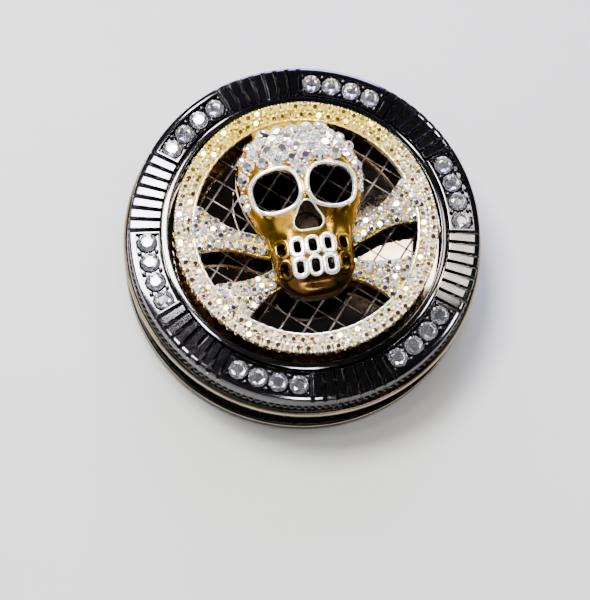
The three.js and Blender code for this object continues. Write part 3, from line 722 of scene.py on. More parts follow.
def groove_corners(centre):
    """Depth share across one flute, by degrees: soft shoulders, steep walls, narrow floor."""
    return [
        (centre - 0.86, 0), (centre - 0.74, 0.1), (centre - 0.34, 0.93), (centre - 0.24, 1),
        (centre + 0.24, 1), (centre + 0.34, 0.93), (centre + 0.74, 0.1), (centre + 0.86, 0),
    ]


def groove_centres():
    middle = SECTOR_DEGREES / 2
    return [
        middle + (index - (GROOVE_COUNT - 1) / 2) * GROOVE_STEP_DEGREES
        for index in range(GROOVE_COUNT)
    ]


def bezel_degrees():
    """Where the bezel's grid needs a spoke in one sector: evenly, and at every wall's corners."""
    half = SECTOR_DEGREES / 2
    spokes = {round(-half + step * SPOKE_STEP, 3) for step in range(int(SECTOR_DEGREES / SPOKE_STEP))}
    spokes.update(round(degrees, 3) for degrees, _ in CHANNEL_ACROSS)
    for centre in groove_centres():
        for degrees, _ in groove_corners(centre):
            spokes.add(round(degrees if degrees < half else degrees - SECTOR_DEGREES, 3))
    ordered = sorted(spokes)
    return [d for d, after in zip(ordered, ordered[1:] + [half + 1]) if after - d > 0.03]


CHANNEL_ENDS = [(0.06, 0), (-0.02, 0.1), (-0.12, 0.92), (-0.2, 1)]
CHANNEL_ACROSS = [(-CHANNEL_HALF_DEGREES - shift, share) for shift, share in CHANNEL_ENDS]
CHANNEL_ACROSS += [(-degrees, share) for degrees, share in reversed(CHANNEL_ACROSS)]
CHANNEL_ALONG = [
    (CHANNEL_INNER - 0.06, 0), (CHANNEL_INNER, 0.1), (CHANNEL_INNER + 0.06, 0.92),
    (CHANNEL_INNER + 0.12, 1), (CHANNEL_OUTER - 0.12, 1), (CHANNEL_OUTER - 0.06, 0.92),
    (CHANNEL_OUTER, 0.1), (CHANNEL_OUTER + 0.06, 0),
]
BEZEL_EDGES = [(0, 0.3), (0.04, 0.14), (0.12, 0.04), (0.24, 0)]


def bezel_crest(radius):
    """Height of the bezel's top before anything is cut into it: a slope with two rounded edges."""
    slope = BEZEL_TOP - math.tan(BEZEL_SLOPE) * (radius - BEZEL_BORE)
    return slope - ramp(min(radius - BEZEL_BORE, BEZEL_RADIUS - radius), BEZEL_EDGES)


def channel_floor(radius):
    """The floor of a stone channel slopes with the bezel's top."""
    return CHANNEL_FLOOR - math.tan(BEZEL_SLOPE) * (radius - STONE_CIRCLE)


def bezel_height(radius, degrees):
    """degrees is counted from the middle of a stone channel, half a sector to each side."""
    crest = bezel_crest(radius)
    channel = min(ramp(degrees, CHANNEL_ACROSS), ramp(radius, CHANNEL_ALONG))
    from_channel = degrees if degrees > 0 else degrees + SECTOR_DEGREES
    flute = max(ramp(from_channel, groove_corners(centre)) for centre in groove_centres())
    if channel > 0:
        return crest - channel * (crest - channel_floor(radius))
    return crest - flute * max(0, crest - CHANNEL_FLOOR)


def bezel_radii():
    radii = {26.0, 27.0, 28.0}    # along the channel floor
    radii.update(radius for radius, _ in CHANNEL_ALONG)
    for inset, _ in BEZEL_EDGES:
        radii.update({BEZEL_BORE + inset, BEZEL_RADIUS - inset})
    return sorted(radii)


def make_bezel():
    degrees = [(sector * SECTOR_DEGREES + d, d) for sector in range(SECTORS) for d in bezel_degrees()]
    rows = [[(radius, bezel_height(radius, local)) for _, local in degrees] for radius in bezel_radii()]
    plain = [
        (BEZEL_RADIUS, BEZEL_FOOT + 0.08), (BEZEL_RADIUS - 0.08, BEZEL_FOOT),
        (SPIGOT_RADIUS + 0.05, BEZEL_FOOT), (SPIGOT_RADIUS + 0.05, CASE_TOP),
        (BEZEL_BORE, CASE_TOP),
    ]
    rows += [[corner] * len(degrees) for corner in plain]
    points = []
    for row in rows:
        for (radius, height), (around, _) in zip(row, degrees):
            points.append(on_circle(radius, FIRST_CHANNEL_ANGLE - math.radians(around), height))
    faces = ring_faces(len(rows), len(degrees), closed_rows=True)
    # The bezel's outer side and underside take the darker nickel, painted shade.
    on_side = [int(row >= len(rows) - len(plain) - 1) for row in range(len(rows)) for _ in degrees]
    bezel = build_mesh("bezel_fluted", points, faces, [BLACK_NICKEL, PAINTED_SHADE_NICKEL], "case", 28, on_side)
    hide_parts("bezel_ring")


def dome_bead(centre, radius, normal=Vector((0, 0, 1)), sides=10):
    """A half-round prong bead standing on a surface, closed underneath."""
    levels = [(sides, math.sqrt(1 - height ** 2), height, 0) for height in (-0.5, 0.1, 0.62, 0.92)]
    faces = ring_faces(4, sides)
    faces.append(tuple(reversed(range(sides))))
    faces.append(tuple(range(3 * sides, 4 * sides)))
    return placed_rings(levels, centre, facing(normal), radius), faces


def make_prongs():
    """Beads raised from the channel floor grip the stones on both sides."""
    parts = []
    for sector in range(SECTORS):
        middle = FIRST_CHANNEL_ANGLE - sector * TAU / SECTORS
        for gap in range(5):
            angle = middle + (gap - 2) * PRONG_STEP
            if gap in (0, 4):
                angle -= math.copysign(0.006, gap - 2)
            for radius in (STONE_CIRCLE - PRONG_OFFSET, STONE_CIRCLE + PRONG_OFFSET):
                spot = on_circle(radius, angle, channel_floor(radius) + 0.34)
                parts.append(dome_bead(Vector(spot), PRONG_RADIUS))
    prongs = build_mesh("bezel_prongs", *join_parts(parts), [BLACK_NICKEL], "case", 80)


# ---------------- stones


def brilliant(centre, radius, turn, crown, back):
    """A round brilliant: octagonal table, star, kite and girdle facets, and a faceted foiled back.
    Returns its points, faces, and which faces are foil."""
    levels = [
        (8, radius * 0.56, crown, 0.0),
        (8, radius * 0.8, crown * 0.6, 0.5),
        (16, radius, 0.03, 0.0),
        (16, radius, -0.03, 0.0),
        (8, radius * 0.62, -back, 0.5),
    ]
    table, stars, girdle, lower, backs = 0, 8, 16, 32, 48
    faces = [tuple(range(8))]
    foil = []
    for i in range(8):
        after = (i + 1) % 8
        before = (i - 1) % 8
        near, mid, far = 2 * i, 2 * i + 1, (2 * i + 2) % 16
        faces.append((table + i, stars + i, table + after))
        faces.append((table + i, stars + before, girdle + near, stars + i))
        faces.append((stars + i, girdle + near, girdle + mid))
        faces.append((stars + i, girdle + mid, girdle + far))
        foil.append((backs + i, lower + mid, lower + near))
        foil.append((backs + i, lower + far, lower + mid))
        foil.append((backs + i, lower + near, backs + before))
    for i in range(16):
        after = (i + 1) % 16
        faces.append((girdle + i, lower + i, lower + after, girdle + after))
    foil.append(tuple(reversed(range(backs, backs + 8))))
    return placed_rings(levels, centre, turn), faces + foil, [0] * len(faces) + [1] * len(foil)


def make_bezel_stones():
    """Each stone lies square to the sloping floor, give or take a little, in its own seat, painted dark
    as shade.
    """
    rng = random.Random(11)
    seats = []
    for number, spot in enumerate(STONE_SPOTS, start=1):
        outward = Vector((spot.x, spot.y, 0)).normalized() * math.sin(BEZEL_SLOPE)
        normal = outward + Vector((rng.uniform(-0.04, 0.04), rng.uniform(-0.04, 0.04), 1))
        turn = facing(normal) @ Matrix.Rotation(rng.uniform(0, TAU / 8), 3, "Z")
        floor_spot = Vector((spot.x, spot.y, CHANNEL_FLOOR))
        seats.append(stone_seat(floor_spot, turn))
        centre = floor_spot + Vector((0, 0, STONE_LIFT))
        points, faces, slots = brilliant(centre, STONE_RADIUS, turn, STONE_CROWN, STONE_LIFT - 0.04)
        name = f"cut_stone_{number:02d}"
        stone = build_mesh(name, points, faces, [CRYSTAL, FOIL], "case", 1, slots)
        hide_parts(f"bezel_crystal_{number:02d}")
    # The seats take the darker nickel, painted shade under the stones.
    build_mesh("stone_seats", *join_parts(seats), [PAINTED_SHADE_NICKEL], "case")


def stone_seat(centre, turn):
    """A low collar round a stone, standing on the channel floor."""
    profile = ((1.35, -0.1), (1.86, -0.1), (1.8, 0.1), (1.62, 0.2), (1.35, 0.14))
    levels = [(32, radius, height, 0) for radius, height in profile]
    return placed_rings(levels, centre, turn), ring_faces(len(levels), 32, closed_rows=True)


def small_stone(centre, radius, normal, spin):
    """A pave stone: table, crown facets and a short skirt sunk into its setting."""
    turn = facing(normal) @ Matrix.Rotation(spin, 3, "Z")
    levels = ((8, 0.52, 0.5, 0.0), (8, 0.8, 0.3, 0.5), (8, 1.0, 0.0, 0.0), (8, 0.8, -0.5, 0.0))
    stars, girdle, foot = 8, 16, 24
    faces = [tuple(range(8)), tuple(reversed(range(foot, foot + 8)))]
    for i in range(8):
        after = (i + 1) % 8
        before = (i - 1) % 8
        faces.append((i, stars + i, after))
        faces.append((i, stars + before, girdle + i, stars + i))
        faces.append((stars + i, girdle + i, girdle + after))
        faces.append((girdle + i, foot + i, foot + after, girdle + after))
    return placed_rings(levels, centre, turn, radius), faces


# ---------------- lip and dial


def make_lip():
    """A polished ring whose crown falls gently outwards from its rounded inner edge."""
    inner = LIP_RADIUS - LIP_WIDTH
    crown_radius = 4.4
    profile = [
        (inner, DIAL_TOP),
        (LIP_RADIUS, DIAL_TOP),
        (LIP_RADIUS, LIP_TOP - 0.16),
        *arc(inner + 0.18, LIP_TOP - crown_radius, crown_radius, 78.3, 89, 10),
        *arc(inner + 0.18, LIP_TOP - 0.18, 0.18, 90, 180, 8),
    ]
    lip = turned("lip_ring", profile, [BLACK_NICKEL], "case")
    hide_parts("inner_lip_ring")


def score_lines(step, shift, width):
    """Grid stations across one set of scored lines, with a share of the depth at each."""
    count = int(DIAL_RADIUS / step) + 1
    stations = [(-DIAL_RADIUS - 2, 0.0)]
    for index in range(-count, count + 1):
        centre = index * step + shift
        if abs(centre) < DIAL_RADIUS + 1:
            stations += [(centre - width / 2, 0.0), (centre, 1.0), (centre + width / 2, 0.0)]
    return stations + [(DIAL_RADIUS + 2, 0.0)]


def turned_by(x, y, angle):
    cosine = math.cos(angle)
    sine = math.sin(angle)
    return x * cosine - y * sine, x * sine + y * cosine


def scored_plate():
    """A closed square plate, its top scored both ways, with the scored faces in their own finish."""
    across, along = (score_lines(*line) for line in zip(LATTICE_STEPS, LATTICE_SHIFTS, SCORE_WIDTHS))
    points = [
        (*turned_by(u, v, LATTICE_ANGLE), DIAL_TOP - SCORE_DEPTH * max(depth_u, depth_v))
        for u, depth_u in across
        for v, depth_v in along
    ]
    columns = len(along)
    faces = []
    slots = []
    for i in range(len(across) - 1):
        for j in range(columns - 1):
            near = i * columns + j
            far = near + columns
            faces.append((near, far, far + 1, near + 1))
            flat = across[i][1] == across[i + 1][1] == 0 and along[j][1] == along[j + 1][1] == 0
            slots.append(0 if flat else 1)
    mesh = new_mesh("scored_plate", points, faces, [DIAL_BLACK, SCORED], slots)
    bm = bmesh.new()
    bm.from_mesh(mesh)
    rim_edges = [edge for edge in bm.edges if edge.is_boundary]
    skirt = bmesh.ops.extrude_edge_only(bm, edges=rim_edges)["geom"]
    for item in skirt:
        if isinstance(item, bmesh.types.BMVert):
            item.co.z = DIAL_BOTTOM * MM
    foot = [item for item in skirt if isinstance(item, bmesh.types.BMEdge) and item.is_boundary]
    bmesh.ops.contextual_create(bm, geom=foot)
    bm.to_mesh(mesh)
    bm.free()
    face_outwards(mesh)
    return add_object("scored_plate", mesh)


def make_dial():
    """The scored plate is cut down to the dial's disc with its centre hole, and gets a border."""
    hole = reach("bearing_inner_ring")
    disc = loose_object("dial_disc", *round_prism(LATTICE_REACH, DIAL_BOTTOM - 1, DIAL_TOP + 1, 192))
    bore = loose_object("dial_bore", *round_prism(hole, DIAL_BOTTOM - 2, DIAL_TOP + 2, 64))
    cut = boolean_result(scored_plate(), [("INTERSECT", disc), ("DIFFERENCE", bore)])
    dial = finish_piece("dial_scored", cut, "case", 5)
    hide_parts("dial_plate")
    inner = LATTICE_REACH + 0.02
    border = [
        (inner, DIAL_BOTTOM), (DIAL_RADIUS, DIAL_BOTTOM), (DIAL_RADIUS, DIAL_TOP - 0.02),
        (inner + 0.06, DIAL_TOP - 0.02), (inner, DIAL_TOP - 0.08),
    ]
    turned("dial_border", border, [DIAL_BLACK], "case")


def round_prism(radius, low, high, sides):
    return prism([(x, y) for x, y, _ in circle(radius, 0, sides)], low, high)


# ---------------- medallion


def bone_axes(angle):
    """A bone arm's direction, the one across it, and how far the ring is from the crossing."""
    direction = Vector((math.cos(angle), math.sin(angle)))
    across = Vector((-direction.y, direction.x))
    along = BONE_CROSSING * direction.y
    return direction, across, -along + math.sqrt(along ** 2 + WINDOW_RADIUS ** 2 - BONE_CROSSING ** 2)


def bone_half_width(distance_to_ring):
    flare = max(0, 1 - distance_to_ring / BONE_FLARE_LENGTH)
    return BONE_HALF_WIDTH + (BONE_END_HALF_WIDTH - BONE_HALF_WIDTH) * flare ** 1.6


def bone_arm(angle):
    """Points and faces of one bone, flaring where it meets the ring."""
    steps = 24
    direction, across, reach_here = bone_axes(angle)
    end = reach_here + 1.2
    outline = []
    for side in (-1, 1):
        for step in range(steps + 1):
            share = step / steps if side < 0 else 1 - step / steps
            distance = end * math.sqrt(share)
            half_width = bone_half_width(max(0, reach_here - distance))
            spot = BONE_CROSS + direction * distance + across * side * half_width
            outline.append((spot.x, spot.y))
    return prism(outline, MEDALLION_BOTTOM, CASTING_TOP)


def make_medallion():
    """The gold frame: scalloped ring, four bone arms, hub disc and crown pad in one casting."""
    steps = RING_UNITS * 6
    inner_bevel = 0.45
    rows = [
        (WINDOW_RADIUS, MEDALLION_BOTTOM, 0),
        (MEDALLION_RADIUS - 0.55, MEDALLION_BOTTOM, 0),
        (MEDALLION_RADIUS - SCALLOP_DEPTH, MEDALLION_BOTTOM + 0.3, 1),
        (MEDALLION_RADIUS - SCALLOP_DEPTH, CASTING_TOP - 0.25, 1),
        (MEDALLION_RADIUS - 0.55, CASTING_TOP, 1),
        (WINDOW_RADIUS + inner_bevel, CASTING_TOP, 0),
        (WINDOW_RADIUS, CASTING_TOP - inner_bevel, 0),
    ]

    def scallop(step):
        return SCALLOP_DEPTH * abs(math.cos(RING_UNITS * (TAU * step / steps) / 2))

    ring = loose_object("ring", *waved(rows, steps, scallop))
    added = [("arm", bone_arm(angle)) for angle in BONE_ANGLES]
    added.append(("hub", round_prism(HUB_DISC_RADIUS, MEDALLION_BOTTOM, CASTING_TOP, 64)))
    added.append(("pad", prism(CROWN_PAD, MEDALLION_BOTTOM, CASTING_TOP)))
    tools = [("UNION", loose_object(name, *solid)) for name, solid in added]
    pin = round_prism(PIN_HOLE_RADIUS, MEDALLION_BOTTOM - 1, MEDALLION_TOP + 1, 48)
    tools.append(("DIFFERENCE", loose_object("pin_hole", *pin)))
    mesh = boolean_result(ring, tools)
    mesh.materials.clear()
    mesh.materials.append(CAST_GOLD)
    frame_piece = finish_piece("medallion_casting", mesh, "spinner", 35)
    bevel = frame_piece.modifiers.new("soft_edges", "BEVEL")
    bevel.width = 0.1 * MM
    bevel.segments = 2
    bevel.limit_method = "ANGLE"
    bevel.angle_limit = math.radians(50)
    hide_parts("medallion_frame")


def leaning(lean, amount, rng):
    """A stone's normal that leans outwards, give or take an amount."""
    side = lean.x + rng.uniform(-amount, amount)
    return Vector((side, lean.y + rng.uniform(-amount, amount), 1)).normalized()


def ring_spot(radius, unit, lift):
    return Vector(on_circle(radius, TAU * unit / RING_UNITS, CASTING_TOP + lift))


def make_ring_pave():
    """Two rows of champagne stones round the ring, with bright beads between and beside them."""
    rng = random.Random(23)
    stones = []
    beads = []
    for unit in range(RING_UNITS):
        for radius, size, shift in RING_ROWS:
            centre = ring_spot(radius, unit + shift, 0.06)
            out = Vector((centre.x, centre.y)).normalized() * 0.16 * (radius - 20.7)
            normal = leaning(out, 0.3, rng)
            size *= rng.uniform(0.94, 1.04)
            stones.append(small_stone(centre, size, normal, rng.uniform(0, 1)))
        for side in (-1, 1):
            inner = ring_spot(INNER_BEADS + 0.26 * side, unit + 0.25 + 0.25 * side, 0.2)
            beads.append(dome_bead(inner, 0.32))
            beads.append(dome_bead(ring_spot(OUTER_BEADS, unit + 0.5 + side * 0.16, 0.02), 0.27))
    add_pave("ring_stones", stones, [CHAMPAGNE, CHAMPAGNE_PAINTED_DARK], "ring_beads", beads, RING_BEAD)
    make_window_rim()


def make_window_rim():
    """The bright beaded wire along the ring's inner edge."""
    steps = RING_UNITS * 6
    angles = [TAU * step / steps for step in range(steps)]
    radii = [WINDOW_WIRE - 0.08 * abs(math.cos(RING_UNITS * angle / 2)) for angle in angles]
    points = [Vector(on_circle(*place, MEDALLION_TOP - 0.2)) for place in zip(radii, angles)]
    normals = [Vector(on_circle(-0.45, angle, 1)).normalized() for angle in angles]
    rim_mesh = swept_loop(points, normals, 0.22, 0.22)
    build_mesh("window_rim", *rim_mesh, [RING_BEAD], "spinner", 60)


def add_pave(stone_name, stones, stone_finishes, bead_name, beads, bead_finish=BEAD_GOLD):
    """Some of a stone's facets are painted dark as shade, the rest get the bright finish: stone_finishes
    are the finishes of the two sorts.
    """
    rng = random.Random(71)
    slots = []
    for _, facets in stones:
        for facet in range(len(facets)):
            slots.append(int(rng.random() < (PAINTED_DARK_SHARE if facet else TABLE_PAINTED_DARK_SHARE)))
    stone_piece = build_mesh(stone_name, *join_parts(stones), stone_finishes, "spinner", 1, slots)
    bead_piece = build_mesh(bead_name, *join_parts(beads), [bead_finish], "spinner", 80)


def under_skull(spot, margin):
    out = spot - SKULL_HEART
    return out.length < outline_radius(math.atan2(out.y, out.x)) - margin


def make_bone_pave():
    """Rows of stones across each bone arm, more to a row where the arm widens."""
    rng = random.Random(37)
    stones = []
    beads = []
    for arm_angle in BONE_ANGLES:
        direction, across, reach_here = bone_axes(arm_angle)
        for row in range(int((reach_here - 4) / PAVE_PITCH) + 1):
            distance = reach_here - 0.1 - row * PAVE_PITCH
            usable = 2 * bone_half_width(max(0, reach_here - distance)) + 0.1
            count = max(2, round(usable / PAVE_PITCH))
            for index in range(count):
                offset = (index + 0.5) / count - 0.5
                lift = 0.12 + 0.4 * (1 - (2 * offset) ** 2)
                spot = BONE_CROSS + direction * distance + across * offset * usable
                spot += Vector((rng.uniform(-0.1, 0.1), rng.uniform(-0.1, 0.1)))
                if spot.length > WINDOW_RADIUS + 0.2 or under_skull(spot, 0.6):
                    continue
                normal = leaning(across * offset * 0.9, 0.26, rng)
                radius = 0.54 * min(PAVE_PITCH, usable / count) * rng.uniform(0.94, 1.04)
                centre = Vector((spot.x, spot.y, CASTING_TOP + lift))
                stones.append(small_stone(centre, radius, normal, rng.uniform(0, 1)))
                corner = spot + direction * PAVE_PITCH / 2 + across * usable / count / 2
                bead = Vector((corner.x, corner.y, CASTING_TOP + lift * 0.8))
                beads.append(dome_bead(bead, 0.24, sides=6))
    add_pave("bone_stones", stones, [PAVE, PAVE_PAINTED_DARK], "bone_beads", beads)


def make_bone_crowns():
    """The raised gold bed that carries the stones along each bone."""
    parts = []
    rows = 16
    sides = 12
    for arm_angle in BONE_ANGLES:
        direction, across, reach_here = bone_axes(arm_angle)
        points = []
        for row in range(rows + 1):
            distance = 3 + (reach_here - 2.8) * row / rows
            half = bone_half_width(max(0, reach_here - distance)) - 0.2
            end_share = min(1, row / 2, (rows - row) / 2)
            for x, y, _ in circle(1, 0, sides):
                spot = BONE_CROSS + direction * distance + across * half * x
                height = MEDALLION_TOP - 0.3 + 0.42 * end_share * y * (1 if y > 0 else 0.5)
                points.append((spot.x, spot.y, height))
        faces = ring_faces(rows + 1, sides)
        faces.append(tuple(range(sides)))
        faces.append(tuple(reversed(range(rows * sides, (rows + 1) * sides))))
        parts.append((points, faces))
    crowns = build_mesh("bone_crowns", *join_parts(parts), [CAST_GOLD], "spinner", 60)


# ---------------- skull


def between(first, second, low, high, t):
    """The point between two, by where t lies between their knots."""
    return first * ((high - t) / (high - low)) + second * ((t - low) / (high - low))


def catmull_rom_loop(corners, steps):
    """A closed centripetal curve through the corners, steps points to each span."""
    curve = []
    for index in range(len(corners)):
        p = [Vector(corners[(index + shift) % len(corners)]) for shift in (-1, 0, 1, 2)]
        knots = [0.0]
        for first, second in zip(p, p[1:]):
            knots.append(knots[-1] + math.sqrt((second - first).length))
        for step in range(steps):
            t = knots[1] + (knots[2] - knots[1]) * step / steps
            a = [between(p[i], p[i + 1], knots[i], knots[i + 1], t) for i in range(3)]
            b = [between(a[i], a[i + 1], knots[i], knots[i + 2], t) for i in range(2)]
            curve.append(between(b[0], b[1], knots[1], knots[2], t))
    return curve


OTHER_SIDE = [(-x, y) for x, y in reversed(SKULL_SIDE[1:-1])]
OUTLINE = catmull_rom_loop(SKULL_SIDE + OTHER_SIDE, 12)
OUTLINE_POLAR = sorted(
    (math.atan2(point.y - SKULL_HEART.y, point.x), (point - SKULL_HEART).length)
    for point in OUTLINE
)


def outline_radius(angle):
    """Distance from the skull's heart to its outline in one direction."""
    first, last = OUTLINE_POLAR[0], OUTLINE_POLAR[-1]
    return ramp(angle, [(last[0] - TAU, last[1]), *OUTLINE_POLAR, (first[0] + TAU, first[1])])


def ridge_height(y):
    """How high the face stands along its middle line, from brow to jaw."""
    brow = 6.2 * math.exp(-(((y - 9.5) / 14) ** 2))
    jaw = 1.9 * math.exp(-(((y + 8.5) / 6) ** 2))
    return max(brow + jaw, 3.4)


FACE_RELIEF = [                # height, then the middle and the size of each swelling or hollow
    (0.35, 4.6, 10.2, 3.6, 1.1),    # brow
    (0.8, 7.6, 0.9, 1.6, 1.3),      # cheekbones
    (0.5, 0, 3.6, 1.2, 1.8),        # bridge of the nose
    (-0.7, 4.6, 5.4, 3.0, 2.4),     # eye hollows
    (-0.9, 6.6, -3.4, 1.5, 1.8),    # cheeks
    (0.35, 0, -6.3, 4.2, 2.6),      # teeth
    (-0.45, 0, -10.9, 3.6, 0.9),    # under the teeth
]


def face_relief(x, y):
    """The swellings and hollows of a face that is the same on both sides."""
    relief = 0
    for height, middle_x, middle_y, width, depth in FACE_RELIEF:
        relief += height * math.exp(-((abs(x) - middle_x) / width) ** 2 - ((y - middle_y) / depth) ** 2)
    return relief


def skull_height(x, y):
    """Height of the skull's surface over the resting plane at a place inside its outline."""
    out = Vector((x, y)) - SKULL_HEART
    edge = outline_radius(math.atan2(out.y, out.x))
    spread = min(1, out.length / edge)
    dome = math.sqrt(max(0, 1 - spread ** 2.6))
    height = SKULL_RIM_HEIGHT + (ridge_height(y) - SKULL_RIM_HEIGHT) * dome
    return MEDALLION_TOP + height + face_relief(x, y) * min(1, 3 * (1 - spread))


def on_skull(x, y, lift=0.0):
    return Vector((x, y, skull_height(x, y) + lift))


def skull_normal(x, y):
    small = 0.15
    slope_x = (skull_height(x + small, y) - skull_height(x - small, y)) / (2 * small)
    slope_y = (skull_height(x, y + small) - skull_height(x, y - small)) / (2 * small)
    return Vector((-slope_x, -slope_y, 1)).normalized()


def eye_outline(side, grow):
    """A tilted, squared oval: side is 1 or -1."""
    points = []
    for x, y, _ in circle(1, 0, 56):
        x = (EYE_HALF_SIZE.x + grow) * squared(x, 0.8)
        y = (EYE_HALF_SIZE.y + grow) * squared(y, 0.8)
        across, up = turned_by(x, y, EYE_TILT)
        points.append((side * (EYE_CENTRE.x + across), EYE_CENTRE.y + up))
    return points if side > 0 else list(reversed(points))


def nose_outline(grow):
    """A rounded triangle, point up."""
    steps = 40
    points = []
    for step in range(steps):
        angle = TAU * step / steps
        x, y, _ = on_circle(NOSE_RADIUS + 0.36 * math.cos(3 * (angle - math.pi / 2)) + grow, angle)
        points.append((x, NOSE_HEIGHT + y))
    return points


def slot_outline(centre_x, centre_y, grow):
    """A tooth gap: an upright rectangle with well-rounded corners."""
    corner = 0.62 + grow
    points = []
    for quarter, (sign_x, sign_y) in enumerate(((1, 1), (-1, 1), (-1, -1), (1, -1))):
        middle_x = centre_x + sign_x * (TOOTH_HALF_SIZE.x + grow - corner)
        middle_y = centre_y + sign_y * (TOOTH_HALF_SIZE.y + grow - corner)
        points += arc(middle_x, middle_y, corner, 90 * quarter, 90 * quarter + 90, 5)
    return points


def tooth_spots():
    for row in TOOTH_ROWS:
        for column in range(TOOTH_COLUMNS):
            yield (column - (TOOTH_COLUMNS - 1) / 2) * TOOTH_STEP, row


def skull_blank():
    """The closed shell before it is pierced: outer dome, wall and inner dome."""
    around = len(OUTLINE)
    rings = 40
    points = []
    for ring in range(1, rings + 1):
        spread = math.sin(math.pi / 2 * ring / rings)
        for point in OUTLINE:
            spot = SKULL_HEART + (point - SKULL_HEART) * spread
            points.append(on_skull(spot.x, spot.y))
    inner_rings = 24
    points += [Vector((point.x, point.y, MEDALLION_TOP)) for point in OUTLINE]
    for ring in range(inner_rings, 0, -1):
        spread = math.sin(math.pi / 2 * ring / inner_rings)
        for point in OUTLINE:
            out = point - SKULL_HEART
            spot = SKULL_HEART + out * (1 - SKULL_WALL / out.length) * spread
            height = skull_height(spot.x, spot.y) - SKULL_WALL
            points.append(Vector((spot.x, spot.y, MEDALLION_TOP if ring == inner_rings else height)))
    faces = ring_faces(rings + 1 + inner_rings, around)
    apex = len(points)
    points.append(on_skull(SKULL_HEART.x, SKULL_HEART.y))
    points.append(on_skull(SKULL_HEART.x, SKULL_HEART.y, -SKULL_WALL))
    last_ring = (rings + inner_rings) * around
    for index in range(around):
        after = (index + 1) % around
        faces.append((apex, after, index))
        faces.append((apex + 1, last_ring + index, last_ring + after))
    return points, faces


def make_skull():
    low = MEDALLION_TOP + 0.3
    high = MEDALLION_TOP + 12
    blank = loose_object("skull_blank", *skull_blank())
    outlines = [eye_outline(1, 0), eye_outline(-1, 0), nose_outline(0)]
    outlines += [slot_outline(x, y, 0) for x, y in tooth_spots()]
    tools = [
        ("DIFFERENCE", loose_object("opening", *prism(outline, low, high))) for outline in outlines
    ]
    mesh = boolean_result(blank, tools)
    mesh.materials.clear()
    mesh.materials.append(GOLD)
    mesh.materials.append(PAINTED_SHADE_BLACK)
    # Faces inside the hollow shell take the near-black painted shade.
    for face in mesh.polygons:
        centre = face.center / MM
        face.material_index = int(centre.z < skull_height(centre.x, centre.y) - SKULL_WALL * 0.6)
    skull = finish_piece("skull_casting", mesh, "spinner", 40)
    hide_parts("skull_shell")
    make_rims()


def rim(outline, lift, half_width, half_height):
    """A flat-topped bar along an outline laid on the skull."""
    points = [on_skull(x, y, lift) for x, y in outline]
    normals = [skull_normal(x, y) for x, y in outline]
    return swept_loop(points, normals, half_width, half_height)


def make_rims():
    """Rims round the eyes, nose and middle teeth in a pale gold that is a painted highlight, plain gold
    ones on the outer teeth.
    """
    bright = [rim(eye_outline(side, 0.32), 0.1, EYE_RIM_HALF_WIDTH, 0.42) for side in (-1, 1)]
    bright.append(rim(nose_outline(0.1), 0.0, 0.17, 0.24))
    plain = []
    for x, y in tooth_spots():
        # The middle teeth's rims join the painted-highlight family.
        family = bright if abs(x) < 1.5 * TOOTH_STEP else plain
        width = 0.34 if abs(x) < 0.5 * TOOTH_STEP else 0.46
        family.append(rim(slot_outline(x, y, 0.3), 0.15, width, 0.38))
    for name, family, finish in (("skull_rims", bright, PAINTED_HIGHLIGHT_GOLD), ("outer_tooth_rims", plain, GOLD)):
        build_mesh(name, *join_parts(family), [finish], "spinner", 60)


def clear_of_eyes(x, y, margin):
    """True outside both eye sockets grown by margin."""
    across, up = turned_by(abs(x) - EYE_CENTRE.x, y - EYE_CENTRE.y, -EYE_TILT)
    reach_across = abs(across) / (EYE_HALF_SIZE.x + margin)
    return reach_across ** 2.5 + (abs(up) / (EYE_HALF_SIZE.y + margin)) ** 2.5 > 1


def forehead_spots():
    """Places and radii of the forehead's stones: staggered rows, then smaller ones in the gaps."""
    spots = []
    for row in range(7):
        for column in range(-5, 6):
            along = (column + 0.5 * (row % 2)) * FOREHEAD_STEP
            spot = Vector((along, FOREHEAD_TOP - row * FOREHEAD_ROW_STEP))
            if spot.y > 3 and under_skull(spot, 0.35) and clear_of_eyes(spot.x, spot.y, 1.62):
                spots.append((spot, FOREHEAD_STONE))
    for row in range(24):
        inset = 0.5 + 0.3 * row
        for point in OUTLINE:
            out = point - SKULL_HEART
            spot = SKULL_HEART + out * (1 - inset / out.length)
            if spot.y < 3.4 or not clear_of_eyes(spot.x, spot.y, 1.2):
                continue
            if all((spot - other).length > 0.84 * radius + 0.8 for other, radius in spots):
                spots.append((spot, FOREHEAD_FILLER))
    return spots


def make_forehead_pave():
    rng = random.Random(53)
    stones = []
    beads = []
    for (x, y), radius in forehead_spots():
        normal = skull_normal(x, y)
        normal += Vector((rng.uniform(-0.12, 0.12), rng.uniform(-0.12, 0.12), 0))
        centre = on_skull(x, y, 0.14)
        stones.append(small_stone(centre, radius, normal.normalized(), rng.uniform(0, 1)))
        for bead_x, bead_y in ((x, y - 1.15 * radius), (x, y + 1.15 * radius)):
            if under_skull(Vector((bead_x, bead_y)), 0.4) and clear_of_eyes(bead_x, bead_y, 0.9):
                grip = on_skull(bead_x, bead_y, 0.12)
                beads.append(dome_bead(grip, 0.32, skull_normal(bead_x, bead_y), 8))
    add_pave("forehead_stones", stones, [PAVE, PAVE_PAINTED_DARK], "forehead_beads", beads)


# ---------------- stage


def make_floor():
    half = FLOOR_HALF_WIDTH
    points = [(-half, -half, 0), (half, -half, 0), (half, half, 0), (-half, half, 0)]
    floor = build_mesh("floor", points, [(0, 1, 2, 3)], [PALE_FLOOR], None)


